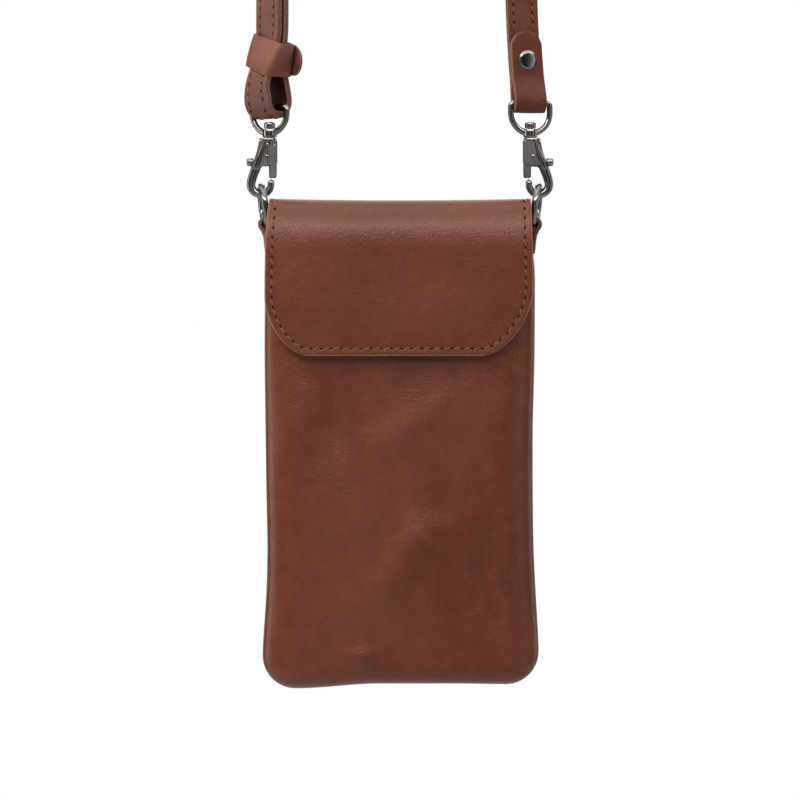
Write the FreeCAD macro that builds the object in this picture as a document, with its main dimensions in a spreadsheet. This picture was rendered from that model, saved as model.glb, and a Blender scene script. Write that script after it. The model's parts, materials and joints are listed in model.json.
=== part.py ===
"""Leather phone pouch that hangs from a strap with two swivel clasps.

Millimetres, +Z up, the pouch's front faces -Y. The origin is the top of the
inside of the strap's arch, where a hand, shoulder or peg carries it. Heights in
this file are measured from the pouch's top edge, which lies `drop` below the origin.
"""
import FreeCAD, Part
import math
import os

doc = FreeCAD.newDocument("phone_pouch")
sheet = doc.addObject("Spreadsheet::Sheet", "sizes")

SIZES = {
    # Pouch
    "pouch_height": 188.5,
    "pouch_depth": 17.0,
    "mouth_width": 98.8,
    "waist_width": 102.4,
    "base_width": 106.4,
    "shoulder_level": 27.0,
    "flare_rise": 60.5,
    "base_rise": 18.5,
    "base_corner": 12.0,
    "edge_round": 5.0,
    "front_edge_level": 9.0,
    "leather": 1.6,
    "lining": 0.8,
    "lining_gap": 0.1,
    "rear_reach": 3.6,
    # Flap
    "flap_width": 104.2,
    "flap_neck_width": 100.0,
    "flap_neck_level": 4.0,
    "flap_side_level": 17.0,
    "flap_length": 61.0,
    "flap_corner": 16.0,
    "flap_bend": 9.0,
    "flap_layer": 1.3,
    "flap_standoff": 1.8,
    "flap_hinge_reach": 7.2,
    "fold_gap": 0.1,
    # Magnetic snap
    "snap_rise": 14.0,
    "snap_diameter": 14.0,
    "snap_bore": 7.0,
    "snap_plate": 0.8,
    "snap_play": 0.6,
    "snap_depth_play": 0.3,
    # Side tabs and rings
    "tab_width": 6.0,
    "tab_leather": 1.4,
    "tab_foot_level": 18.0,
    "tab_foot_thickness": 2.8,
    "ring_radius": 7.7,
    "ring_wire": 2.2,
    "ring_level": 2.25,
    "ring_lean": 7.0,
    "ring_yaw_angle": 7.0,
    "ring_play": 0.35,
    # Swivel clasps
    "bow_offset": 3.4,
    "bow_radius": 2.6,
    "bow_play": 0.9,
    "hook_wire": 2.7,
    "hook_height": 18.0,
    "hook_throat": 6.7,
    "hook_back": 3.0,
    "hook_shoulder": 3.5,
    "hook_arm_root": 6.2,
    "hook_thickness": 4.0,
    "hook_tip_rise": 0.4,
    "gate_slot": 2.2,
    "gate_slot_height": 8.0,
    "gate_slot_undercut": 0.5,
    "gate_thickness": 1.8,
    "gate_blade": 2.0,
    "gate_setback": 0.4,
    "gate_tip_rise": 1.4,
    "gate_shoulder": 1.7,
    "gate_bar": 2.2,
    "pin_radius": 0.6,
    "pin_play": 0.15,
    "pin_rise": 10.7,
    "pin_offset": 1.0,
    "knob_radius": 1.7,
    "knob_offset": 7.9,
    "knob_rise": 8.6,
    "knob_length": 3.2,
    "swivel_play": 0.2,
    "post_radius": 1.2,
    "post_play": 0.15,
    "head_radius": 2.1,
    "head_height": 2.4,
    "collar_radius": 2.5,
    "collar_height": 3.3,
    "eye_inner_width": 13.6,
    "eye_wire": 2.0,
    "eye_side": 2.3,
    # Strap
    "drop": 195.0,
    "strap_width": 12.5,
    "strap_layer": 1.4,
    "arch_radius": 46.5,
    "left_turn_angle": 30.0,
    "right_turn_angle": 6.0,
    "right_lean_height": 46.0,
    "bar_play": 0.75,
    "left_loop_radius": 4.3,
    "left_loop_rise": 8.5,
    "right_loop_radius": 1.75,
    "right_loop_rise": 10.5,
    "layer_gap": 0.05,
    "end_tab_rise": 29.0,
    "end_rivet_rise": 17.5,
    "tail_rise": 70.0,
    "tail_rivet_rise": 60.0,
    "rivet_cap": 3.7,
    "rivet_cap_height": 1.1,
    "rivet_shank": 1.3,
    "rivet_seat": 0.25,
    # Keeper
    "keeper_rise": 19.0,
    "keeper_height": 12.7,
    "keeper_leather": 1.3,
    "keeper_play": 0.9,
    "keeper_slant": 14.0,
    "keeper_tongue": 4.6,
    "keeper_rivet": 2.0,
    "keeper_rivet_height": 0.8,
}

LOOP_SECTION_COUNT = 8
LEG_SECTION_COUNT = 14

for row, (name, value) in enumerate(SIZES.items(), start=1):
    sheet.set(f"A{row}", name)
    sheet.set(f"B{row}", str(value))
    sheet.setAlias(f"B{row}", name)
doc.recompute()

size = {name: float(sheet.get(name)) for name in SIZES}
nodes = []

LEFT = -1
RIGHT = 1
SIDE_NAMES = {LEFT: "left", RIGHT: "right"}
UP = FreeCAD.Vector(0, 0, 1)
ACROSS = FreeCAD.Vector(1, 0, 0)
BACK = FreeCAD.Vector(0, 1, 0)
NO_TURN = FreeCAD.Rotation()


# Places that follow from the driving sizes

rear_face = size["rear_reach"]
rear_inside = rear_face - size["leather"]
front_face = rear_face - size["pouch_depth"]
flap_inside = front_face - size["flap_standoff"]
flap_outside = flap_inside - 2 * size["flap_layer"]
hinge_y = rear_face - size["flap_hinge_reach"]

# The tab lies on the pouch's side, the ring stands in the tab and the hook holds the ring
lean = math.radians(size["ring_lean"])
wire_room = size["ring_wire"] / 2 + size["ring_play"]
tab_half = wire_room + size["tab_leather"]
tab_side = size["mouth_width"] / 2
ring_foot_x = tab_side + tab_half
ring_x = ring_foot_x + size["ring_radius"] * math.sin(lean)
ring_z = -size["ring_level"]
ring_foot_z = ring_z - size["ring_radius"] * math.cos(lean)
ring_top_x = ring_x + size["ring_radius"] * math.sin(lean)
ring_top_inside = ring_z + size["ring_radius"] * math.cos(lean) - size["ring_wire"] / 2

axis_x = ring_top_x - size["bow_offset"]
bow_z = ring_top_inside - size["bow_play"] + size["bow_radius"]
hook_top = bow_z + size["hook_height"]
throat_z = bow_z + size["hook_throat"]
pin_z = bow_z + size["pin_rise"]
collar_z = hook_top + size["swivel_play"]
head_z = collar_z + size["collar_height"] + size["swivel_play"]
eye_radius = (size["eye_inner_width"] + size["eye_wire"]) / 2
eye_z = collar_z + size["collar_height"] / 2 + eye_radius
bar_z = eye_z + size["eye_side"]

strap_thickness = 2 * size["strap_layer"]
loop_radius = {LEFT: size["left_loop_radius"], RIGHT: size["right_loop_radius"]}
loop_rise = {LEFT: size["left_loop_rise"], RIGHT: size["right_loop_rise"]}
# Height of each loop's centre, with the eye's bar lying in its lower inside
loop_z = {s: bar_z + radius - size["eye_wire"] / 2 - size["bar_play"] for s, radius in loop_radius.items()}
arch_z = size["drop"] - size["arch_radius"] + strap_thickness / 2


# Building blocks


def level(height):
    """Height in the part's frame of a height above the pouch's top edge."""
    return height - size["drop"]


def at(x=0.0, y=0.0, z=0.0, turn=0.0):
    """A placement at a height above the pouch's top edge, turned about the vertical."""
    return FreeCAD.Placement(FreeCAD.Vector(x, y, level(z)), FreeCAD.Rotation(UP, turn))


def within(frame, x=0.0, y=0.0, z=0.0, rotation=NO_TURN):
    """A placement given in another one's own axes."""
    return frame.multiply(FreeCAD.Placement(FreeCAD.Vector(x, y, z), rotation))


def finish(obj, label):
    """Keep an object as one of the part's pieces, under its own name."""
    obj.Label = label
    nodes.append(obj)
    return obj


def primitive(kind, name, placement, **sizes):
    """A primitive whose dimensions are bound to expressions."""
    obj = doc.addObject("Part::" + kind, name)
    for prop, expression in sizes.items():
        obj.setExpression(prop, expression)
    obj.Placement = placement
    return obj


def fused(name, pieces):
    obj = doc.addObject("Part::MultiFuse", name)
    obj.Shapes = pieces
    return obj


def combined(kind, name, base, tool):
    """A cut or a common of two objects."""
    obj = doc.addObject("Part::" + kind, name)
    obj.Base = base
    obj.Tool = tool
    return obj


def solid(name, shape):
    obj = doc.addObject("Part::Feature", name)
    obj.Shape = shape
    return obj


def outline(corners):
    """Lines and tangent arcs round corners given as (x, y, radius)."""
    points = [FreeCAD.Vector(x, y, 0) for x, y, _ in corners]
    ends = []
    for i, (_, _, radius) in enumerate(corners):
        here = points[i]
        if radius <= 0:
            ends.append((here, None, here))
            continue
        before = (points[i - 1] - here).normalize()
        after = (points[(i + 1) % len(points)] - here).normalize()
        half = before.getAngle(after) / 2
        centre = here + (before + after).normalize() * (radius / math.sin(half))
        middle = centre + (here - centre).normalize() * radius
        reach = radius / math.tan(half)
        ends.append((here + before * reach, middle, here + after * reach))
    edges = []
    for i, (start, middle, end) in enumerate(ends):
        if middle is not None:
            edges.append(Part.Arc(start, middle, end))
        edges.append(Part.LineSegment(end, ends[(i + 1) % len(ends)][0]))
    return edges


def circle(x, y, radius):
    return [Part.Circle(FreeCAD.Vector(x, y, 0), UP, radius)]


def new_body(name):
    return doc.addObject("PartDesign::Body", name)


def sketch(body, plane, edges):
    """A sketch on one of the body's own origin planes."""
    origin = next(f for f in body.Origin.OriginFeatures if f.Role == plane)
    drawn = body.newObject("Sketcher::SketchObject", body.Name + "_sketch")
    drawn.AttachmentSupport = [(origin, "")]
    drawn.MapMode = "FlatFace"
    drawn.addGeometry(edges, False)
    return drawn


def pad(body, plane, edges, length, symmetric=True):
    """Pad an outline by an expression; a one-sided pad from XZ grows to the front."""
    feature = body.newObject("PartDesign::Pad", body.Name + "_pad")
    feature.Profile = sketch(body, plane, edges)
    feature.setExpression("Length", length)
    if symmetric:
        feature.SideType = "Symmetric"
    doc.recompute()
    return feature


def pocket(body, plane, edges, length):
    """Cut an outline out of the body, evenly to both sides of the plane."""
    before = body.Shape.Volume
    feature = body.newObject("PartDesign::Pocket", body.Name + "_pocket")
    feature.Profile = sketch(body, plane, edges)
    feature.setExpression("Length", length)
    feature.SideType = "Symmetric"
    doc.recompute()
    if body.Shape.Volume >= before:
        raise RuntimeError(body.Name + ": the pocket cuts nothing")
    return feature


def mirrored(right_half):
    """An outline's corners with their mirror images about the middle line."""
    left_half = [(-x, z, radius) for x, z, radius in reversed(right_half)]
    return outline(right_half + left_half)


# Pouch: turned front and back panels round a lining

# How far each layer's outside stands in from the leather's outside
SKIN = "0"
CAVITY = "sizes.leather"
LINING = "sizes.leather + sizes.lining_gap"
POCKET = "sizes.leather + sizes.lining_gap + sizes.lining"
INSETS = {
    SKIN: 0.0,
    CAVITY: size["leather"],
    LINING: size["leather"] + size["lining_gap"],
    POCKET: size["leather"] + size["lining_gap"] + size["lining"],
}


def pouch_outline(inset, top):
    """The pouch seen from the front, drawn in by an inset, from a top level down."""
    mouth = size["mouth_width"] / 2 - inset
    waist = size["waist_width"] / 2 - inset
    base = size["base_width"] / 2 - inset
    foot = -size["pouch_height"]
    return mirrored([
        (mouth, top, 0),
        (mouth, -size["tab_foot_level"], 0),
        (waist, -size["shoulder_level"], 0),
        (waist, foot + size["flare_rise"], 0),
        (base, foot + size["base_rise"], 0),
        (base, foot + inset, size["base_corner"] - inset),
    ])


def pouch_block(name, layer, top):
    """A block inside one of the pouch's layers, with rounded front edges."""
    body = new_body(name)
    depth = f"sizes.pouch_depth - sizes.leather - ({layer})"
    block = pad(body, "XZ_Plane", pouch_outline(INSETS[layer], top), depth, symmetric=False)
    front = block.Shape.BoundBox.YMin
    rim = [
        f"Edge{i}"
        for i, edge in enumerate(block.Shape.Edges, start=1)
        if abs(edge.BoundBox.YMax - front) < 1e-6 and edge.CenterOfMass.z < top - 1e-3
    ]
    rounding = body.newObject("PartDesign::Fillet", name + "_rounding")
    rounding.Base = (block, rim)
    rounding.setExpression("Radius", f"sizes.edge_round - ({layer})")
    body.Placement = at(y=rear_inside)
    doc.recompute()
    return body


def front_layers():
    """The front panel, whose sides wrap round to the back, and its lining."""
    top = -size["front_edge_level"]
    clear = top + size["edge_round"]
    skin = pouch_block("front_skin", SKIN, top)
    cavity = pouch_block("front_cavity", CAVITY, clear)
    finish(combined("Cut", "front_panel_cut", skin, cavity), "front_panel")
    liner = pouch_block("lining_skin", LINING, top)
    room = pouch_block("lining_room", POCKET, clear)
    finish(combined("Cut", "front_lining_cut", liner, room), "front_lining")


def back_layers():
    """The flat back panel, which curls forward at the top to the flap's fold."""
    reach = size["flap_hinge_reach"]
    body = new_body("back_panel_body")
    pad(body, "XZ_Plane", pouch_outline(0.0, -reach), "sizes.leather", symmetric=False)
    lip = outline([
        (0, -reach, 0),
        (0, 0, reach),
        (-reach, 0, 0),
        (-reach, -size["leather"], 0),
        (-size["leather"], -size["leather"], reach - size["leather"]),
        (-size["leather"], -reach, 0),
    ])
    pad(body, "YZ_Plane", [e for e in lip if e.length() > 1e-6], "sizes.mouth_width")
    body.Placement = at(y=rear_face)
    finish(body, "back_panel")

    inset = INSETS[POCKET] + size["lining_gap"]
    liner = new_body("back_lining_body")
    top = -size["front_edge_level"]
    pad(liner, "XZ_Plane", pouch_outline(inset, top), "sizes.lining", symmetric=False)
    liner.Placement = at(y=rear_inside - size["lining_gap"])
    finish(liner, "back_lining")


# Flap: two stitched layers, folded over the top and down the front


def flap_layer(name, outer_step):
    """One leather layer of the flap, counted inwards from the outside."""
    outer = outer_step * size["flap_layer"]
    inner = outer + size["flap_layer"]
    start = hinge_y - size["fold_gap"]
    foot = -size["flap_length"]
    profile = outline([
        (start, -outer, 0),
        (flap_outside + outer, -outer, size["flap_bend"] - outer),
        (flap_outside + outer, foot, 0),
        (flap_outside + inner, foot, 0),
        (flap_outside + inner, -inner, size["flap_bend"] - inner),
        (start, -inner, 0),
    ])
    body = new_body(name + "_profile")
    pad(body, "YZ_Plane", profile, "sizes.flap_width")
    body.Placement = at()
    return body


def flap():
    """The flap's layers, trimmed to its outline as seen from the front."""
    neck = size["flap_neck_width"] / 2
    side = size["flap_width"] / 2
    corners = mirrored([
        (neck, size["flap_bend"], 0),
        (neck, -size["flap_neck_level"], 0),
        (side, -size["flap_side_level"], 0),
        (side, -size["flap_length"], size["flap_corner"]),
    ])
    reach = "2 * (sizes.pouch_depth + sizes.flap_standoff + 2 * sizes.flap_layer)"
    for step, name in enumerate(("flap_outer", "flap_lining")):
        layer = flap_layer(name, step)
        trim = new_body(name + "_outline")
        pad(trim, "XZ_Plane", corners, reach)
        trim.Placement = at()
        finish(combined("Common", name + "_common", layer, trim), name)


def snap():
    """A thin magnetic snap: a socket on the front panel and a stud on the flap."""
    snap_z = size["snap_rise"] - size["flap_length"]
    on_panel = within(at(0, front_face, snap_z), rotation=FreeCAD.Rotation(UP, -BACK))
    on_flap = within(at(0, flap_inside, snap_z), rotation=FreeCAD.Rotation(UP, BACK))
    plate = {"Radius": "sizes.snap_diameter / 2", "Height": "sizes.snap_plate"}
    socket = primitive("Cylinder", "socket_plate", on_panel, **plate)
    bore = primitive("Cylinder", "socket_bore", on_panel,
                     Radius="sizes.snap_bore / 2", Height="sizes.snap_plate")
    finish(combined("Cut", "socket_cut", socket, bore), "snap_socket")
    disc = primitive("Cylinder", "stud_plate", on_flap, **plate)
    boss = primitive(
        "Cylinder", "stud_boss", on_flap,
        Radius="sizes.snap_bore / 2 - sizes.snap_play",
        Height="sizes.flap_standoff - sizes.snap_depth_play",
    )
    finish(fused("stud_fuse", [disc, boss]), "snap_stud")


# Side tabs and the rings that stand in them


def ring_torus(name, side, wire):
    """A ring about the tab, leaning outwards at the top and turned a little to the front."""
    yaw = FreeCAD.Rotation(UP, -side * size["ring_yaw_angle"])
    tilt = yaw.multiply(FreeCAD.Rotation(BACK, side * (90 + size["ring_lean"])))
    place = within(at(side * ring_x, 0, ring_z), rotation=tilt)
    return primitive("Torus", name, place, Radius1="sizes.ring_radius", Radius2=wire)


def tab(side):
    """A leather tab sewn to the pouch's side and closed over the ring's wire."""
    name = SIDE_NAMES[side]
    half_width = size["tab_width"] / 2
    wire_rise = size["ring_radius"] - math.sqrt(size["ring_radius"] ** 2 - half_width ** 2)
    top = ring_foot_z + wire_rise + tab_half
    far = tab_side + 2 * tab_half
    foot = -size["tab_foot_level"]
    profile = outline([
        (side * tab_side, top, size["tab_leather"]),
        (side * far, top, tab_half),
        (side * far, ring_foot_z - size["ring_wire"], 0),
        (side * (tab_side + size["tab_foot_thickness"]), foot, 0),
        (side * tab_side, foot, 0),
    ])
    body = new_body(name + "_tab_body")
    pad(body, "XZ_Plane", profile, "sizes.tab_width")
    body.Placement = at()
    room = ring_torus(name + "_ring_room", side, "sizes.ring_wire / 2 + sizes.ring_play")
    finish(combined("Cut", name + "_tab_cut", body, room), name + "_tab")
    finish(ring_torus(name + "_ring_torus", side, "sizes.ring_wire / 2"), name + "_ring")


# Swivel clasps, drawn with the arm on the +X side of the swivel axis


def clasp_frame(side):
    """The clasp's axes: the left one is the right one turned half round."""
    return at(side * axis_x, 0, 0, 0 if side == RIGHT else 180)


def hook(side):
    """The claw with its slot for the gate and its cross pin."""
    name = SIDE_NAMES[side]
    inner = size["bow_radius"]
    outer = inner + size["hook_wire"]
    middle = size["bow_offset"]
    tip = bow_z + size["hook_tip_rise"]
    back = -size["hook_back"]

    def point(u, z):
        return FreeCAD.Vector(u, z, 0)

    bottom = Part.Arc(point(middle + outer, bow_z), point(middle, bow_z - outer),
                      point(middle - outer, bow_z))
    inside = Part.Arc(point(middle - inner, bow_z), point(middle, bow_z - inner),
                      point(middle + inner, bow_z))
    nose = [point(middle - outer, bow_z), point(middle - outer, tip), point(middle - inner, tip),
            point(middle - inner, bow_z)]
    trunk = [point(middle + inner, bow_z), point(size["hook_arm_root"] - size["hook_wire"], throat_z),
             point(back, throat_z), point(back, hook_top), point(size["hook_shoulder"], hook_top),
             point(size["hook_arm_root"], throat_z), point(middle + outer, bow_z)]
    edges = [bottom, inside]
    for run in (nose, trunk):
        edges += [Part.LineSegment(a, b) for a, b in zip(run, run[1:])]

    body = new_body(name + "_hook_body")
    pad(body, "XZ_Plane", edges, "sizes.hook_thickness")
    far = size["knob_offset"] + size["knob_radius"]
    low = throat_z - size["gate_slot_undercut"]
    high = throat_z + size["gate_slot_height"]
    slot = outline([(-far, low, 0), (far, low, 0), (far, high, 0), (-far, high, 0)])
    pocket(body, "XZ_Plane", slot, "sizes.gate_slot")
    pin_hole = circle(size["pin_offset"], pin_z, size["pin_radius"])
    pocket(body, "XZ_Plane", pin_hole, "sizes.hook_thickness")
    body.Placement = clasp_frame(side)
    finish(body, name + "_hook")

    half = size["hook_thickness"] / 2
    to_back = FreeCAD.Rotation(UP, BACK)
    pin_place = within(clasp_frame(side), size["pin_offset"], -half, pin_z, to_back)
    pin = primitive("Cylinder", name + "_pin", pin_place,
                    Radius="sizes.pin_radius", Height="sizes.hook_thickness")
    finish(pin, name + "_gate_pin")


def gate(side):
    """The sprung gate lever with its thumb knob, hung on the cross pin."""
    name = SIDE_NAMES[side]
    out = size["gate_setback"] - size["hook_back"]
    into = out + size["gate_blade"]
    foot = bow_z + size["gate_tip_rise"]
    crown = pin_z + size["gate_shoulder"]
    knob_z = bow_z + size["knob_rise"]
    bar = size["gate_bar"] / 2
    lever = outline([
        (out, foot, 0),
        (into, foot, 0),
        (into, knob_z - bar, 0),
        (size["knob_offset"], knob_z - bar, 0),
        (size["knob_offset"], knob_z + bar, 0),
        (size["pin_offset"] + size["gate_shoulder"], crown, 0),
        (out + size["gate_setback"], crown, 0),
        (out, pin_z, 0),
    ])
    body = new_body(name + "_gate_body")
    pad(body, "XZ_Plane", lever, "sizes.gate_thickness")
    pad(body, "XZ_Plane", circle(size["knob_offset"], knob_z, size["knob_radius"]), "sizes.knob_length")
    hole = circle(size["pin_offset"], pin_z, size["pin_radius"] + size["pin_play"])
    pocket(body, "XZ_Plane", hole, "sizes.gate_thickness")
    body.Placement = clasp_frame(side)
    finish(body, name + "_gate")


def swivel_post(side):
    """The post that stands on the hook, goes through the eye's collar and is headed over."""
    name = SIDE_NAMES[side]
    frame = clasp_frame(side)
    shank = primitive(
        "Cylinder", name + "_shank", within(frame, z=hook_top),
        Radius="sizes.post_radius", Height="sizes.collar_height + 2 * sizes.swivel_play + sizes.head_height",
    )
    head = primitive("Cylinder", name + "_head", within(frame, z=head_z),
                     Radius="sizes.head_radius", Height="sizes.head_height")
    finish(fused(name + "_post_fuse", [shank, head]), name + "_swivel_post")


def strap_turn(side):
    """Turn of the strap, and of the eye that it holds, at the eye's bar."""
    return -size["left_turn_angle"] if side == LEFT else size["right_turn_angle"]


def eye(side):
    """The D-shaped eye: a half ring, two short sides, the strap's bar and the collar."""
    name = SIDE_NAMES[side] + "_eye"
    frame = at(side * axis_x, 0, 0, strap_turn(side))
    wire = "sizes.eye_wire / 2"
    below = FreeCAD.Rotation(ACROSS, -90)
    bow = primitive("Torus", name + "_bow", within(frame, z=eye_z, rotation=below),
                    Radius1="(sizes.eye_inner_width + sizes.eye_wire) / 2", Radius2=wire)
    bow.Angle3 = 180
    lengthwise = FreeCAD.Rotation(UP, ACROSS)
    bar = primitive("Cylinder", name + "_bar", within(frame, -eye_radius, 0, bar_z, lengthwise),
                    Radius=wire, Height="sizes.eye_inner_width + sizes.eye_wire")
    pieces = [bow, bar]
    for x in (-eye_radius, eye_radius):
        pieces.append(primitive("Cylinder", name + "_side", within(frame, x, 0, eye_z),
                                Radius=wire, Height="sizes.eye_side"))
        pieces.append(primitive("Sphere", name + "_corner", within(frame, x, 0, bar_z), Radius=wire))
    pieces.append(primitive("Cylinder", name + "_collar", within(frame, z=collar_z),
                            Radius="sizes.collar_radius", Height="sizes.collar_height"))
    bore = primitive("Cylinder", name + "_bore", within(frame, z=collar_z),
                     Radius="sizes.post_radius + sizes.post_play", Height="sizes.collar_height")
    finish(combined("Cut", name + "_cut", fused(name + "_fuse", pieces), bore), name)


# Strap: two stitched layers that turn edge on as they rise into the arch


def smooth(share):
    """An even start and finish between 0 and 1."""
    share = min(max(share, 0.0), 1.0)
    return share * share * (3 - 2 * share)


def leg(side, z):
    """The strap's place, turn in degrees and half gap between its two runs at a height."""
    rise = z - bar_z
    climb = smooth(rise / (arch_z - bar_z))
    start = strap_turn(side)
    turn = start + (side * 90 - start) * climb
    lean_in = climb if side == LEFT else smooth(rise / size["right_lean_height"])
    x = side * (axis_x + (size["arch_radius"] - axis_x) * lean_in)
    closing = smooth((z - loop_z[side]) / loop_rise[side])
    gap = loop_radius[side] + (size["layer_gap"] - loop_radius[side]) * closing
    return x, turn, gap


def strap_frame(side, z):
    x, turn, _ = leg(side, z)
    return at(x, 0, z, turn)


def ribbon(side, heights, offsets):
    """A loft of the strap's section; offsets(z) gives its two faces from the middle, inwards."""
    half = size["strap_width"] / 2
    sections = []
    for z in heights:
        near, far = offsets(z)
        corners = [(-half, near), (half, near), (half, far), (-half, far), (-half, near)]
        frame = strap_frame(side, z)
        points = [frame.multVec(FreeCAD.Vector(x, y, 0)) for x, y in corners]
        sections.append(Part.makePolygon(points))
    return Part.makeLoft(sections, True, True)


def spread(start, end, count):
    return [start + (end - start) * i / (count - 1) for i in range(count)]


def leg_heights(side, top):
    """Heights of the sections: close together where the loop closes, then up to a top."""
    closed = loop_z[side] + loop_rise[side]
    upper = [z for z in spread(closed, arch_z, LEG_SECTION_COUNT)[1:] if z < top]
    return spread(loop_z[side], closed, LOOP_SECTION_COUNT) + upper + [top]


def run_middle(side, z):
    """Offset of the main run's middle: beside the doubled end, then centred in the arch."""
    doubled_top = bar_z + (size["tail_rise"] if side == LEFT else size["end_tab_rise"])
    _, _, gap = leg(side, z)
    beside = gap + strap_thickness / 2
    return side * beside * (1 - smooth((z - doubled_top) / (arch_z - doubled_top)))


def layer_faces(side, z, near):
    """Faces of one layer of the main run, from its near face's offset from the run's middle."""
    start = run_middle(side, z) + near
    return start, start + size["strap_layer"]


def doubled_run(side, z):
    """Faces of the run that comes back up from the eye, on the other side of the gap."""
    _, _, gap = leg(side, z)
    faces = (-side * gap, -side * (gap + strap_thickness))
    return min(faces), max(faces)


def strap_fold(side):
    """The half turn of the strap round the eye's bar."""
    inner = loop_radius[side]
    outer = inner + strap_thickness
    start = ACROSS * (-size["strap_width"] / 2)
    roll = Part.makeCylinder(outer, size["strap_width"], start, ACROSS)
    tube = roll.cut(Part.makeCylinder(inner, size["strap_width"], start, ACROSS))
    lower = Part.makeBox(2 * size["strap_width"], 2 * outer, outer,
                         FreeCAD.Vector(-size["strap_width"], -outer, -outer))
    half = tube.common(lower)
    half.Placement = strap_frame(side, loop_z[side])
    return half


def rivet(side, z, name):
    """A cap rivet through both runs of the strap; returns the hole that it needs."""
    depth = strap_thickness + size["layer_gap"] + size["rivet_seat"]
    to_back = FreeCAD.Rotation(UP, BACK)
    frame = strap_frame(side, z)
    reach = "4 * sizes.strap_layer + 2 * sizes.layer_gap + 2 * sizes.rivet_seat"
    shank = primitive("Cylinder", name + "_shank", within(frame, y=-depth, rotation=to_back),
                      Radius="sizes.rivet_shank", Height=reach)
    cap_height = size["rivet_cap_height"]
    caps = [
        primitive("Cylinder", name + "_cap", within(frame, y=y, rotation=to_back),
                  Radius="sizes.rivet_cap", Height="sizes.rivet_cap_height")
        for y in (-depth - cap_height, depth)
    ]
    finish(fused(name + "_fuse", [shank] + caps), name)
    return primitive("Cylinder", name + "_hole", within(frame, y=-depth, rotation=to_back),
                     Radius="sizes.rivet_shank", Height=reach)


def rounded_end(name, side, top, shape):
    """Round a run's upper end to a half disc."""
    radius = size["strap_width"] / 2
    reach = 2 * size["strap_width"]
    frame = strap_frame(side, top - radius)
    block = Part.makeBox(2 * reach, 2 * reach, reach, FreeCAD.Vector(-reach, -reach, 0))
    disc = Part.makeCylinder(radius, 2 * reach, FreeCAD.Vector(0, -reach, 0), BACK)
    corners = block.cut(disc)
    corners.Placement = frame
    return combined("Cut", name + "_rounded", shape, solid(name + "_corners", corners))


def strap():
    """The strap's layers, its doubled ends and the rivets that hold them."""
    end_top = bar_z + size["end_tab_rise"]
    tail_top = bar_z + size["tail_rise"]
    end_hole = rivet(RIGHT, bar_z + size["end_rivet_rise"], "right_end_rivet")
    tail_hole = rivet(LEFT, bar_z + size["tail_rivet_rise"], "left_tail_rivet")
    holes = fused("rivet_holes", [end_hole, tail_hole])

    layer = size["strap_layer"]
    arch_centre = FreeCAD.Vector(0, 0, level(arch_z))
    half = size["strap_width"] / 2
    for name, near in (("strap_outer", -layer), ("strap_lining", 0.0)):
        pieces = []
        for side in (LEFT, RIGHT):
            loft = ribbon(side, leg_heights(side, arch_z), lambda z: layer_faces(side, z, near))
            pieces.append(solid(f"{name}_{SIDE_NAMES[side]}_leg", loft))
        far_x = size["arch_radius"] - near
        section = Part.Face(Part.makePolygon([
            arch_centre + FreeCAD.Vector(x, y, 0)
            for x, y in ((far_x - layer, -half), (far_x, -half), (far_x, half), (far_x - layer, half),
                         (far_x - layer, -half))
        ]))
        pieces.append(solid(name + "_arch", section.revolve(arch_centre, -BACK, 180)))
        finish(combined("Cut", name + "_cut", fused(name + "_fuse", pieces), holes), name)

    ends = (("strap_left_tail", LEFT, tail_top), ("strap_right_end", RIGHT, end_top))
    for name, side, top in ends:
        run = ribbon(side, leg_heights(side, top), lambda z: doubled_run(side, z))
        whole = fused(name + "_fuse", [solid(name + "_run", run), solid(name + "_fold", strap_fold(side))])
        rounded = rounded_end(name, side, top, whole)
        finish(combined("Cut", name + "_cut", rounded, holes), name)


# Keeper: a leather loop that slides on both runs of the left leg


def keeper():
    """A slanted loop with a rounded tongue and the rivet that closes it."""
    frame = strap_frame(LEFT, bar_z + size["keeper_rise"])
    wall = size["keeper_leather"]
    room_x = size["strap_width"] + 2 * size["keeper_play"]
    room_y = 2 * strap_thickness + 2 * size["layer_gap"] + 2 * size["keeper_play"]
    tall = 2 * size["keeper_height"]
    across = "sizes.strap_width + 2 * sizes.keeper_play"
    deep = "4 * sizes.strap_layer + 2 * sizes.layer_gap + 2 * sizes.keeper_play"
    walls = " + 2 * sizes.keeper_leather"
    outside = primitive(
        "Box", "keeper_outside", within(frame, -room_x / 2 - wall, -room_y / 2 - wall, -tall / 2),
        Length=across + walls, Width=deep + walls, Height="2 * sizes.keeper_height",
    )
    slant = FreeCAD.Rotation(BACK, size["keeper_slant"])
    span = 2 * room_x
    slab_place = within(within(frame, rotation=slant), -span, -span, -size["keeper_height"] / 2)
    slab = primitive("Box", "keeper_slab", slab_place, Height="sizes.keeper_height")
    slab.Length = 2 * span
    slab.Width = 2 * span
    band = combined("Common", "keeper_slanted", outside, slab)
    disc_x = room_x / 2 + wall + size["keeper_tongue"] - size["keeper_height"] / 2
    to_back = FreeCAD.Rotation(UP, BACK)
    tongue_place = within(within(frame, rotation=slant), disc_x, room_y / 2, 0, to_back)
    tongue = primitive("Cylinder", "keeper_tongue", tongue_place,
                       Radius="sizes.keeper_height / 2", Height="sizes.keeper_leather")
    inside = primitive(
        "Box", "keeper_inside", within(frame, -room_x / 2, -room_y / 2, -tall),
        Length=across, Width=deep, Height="4 * sizes.keeper_height",
    )
    whole = fused("keeper_fuse", [band, tongue])
    finish(combined("Cut", "keeper_cut", whole, inside), "keeper_band")
    rivet_place = within(frame, 0, room_y / 2 + wall, 0, to_back)
    stud = primitive("Cylinder", "keeper_stud", rivet_place,
                     Radius="sizes.keeper_rivet", Height="sizes.keeper_rivet_height")
    finish(stud, "keeper_rivet")


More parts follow.
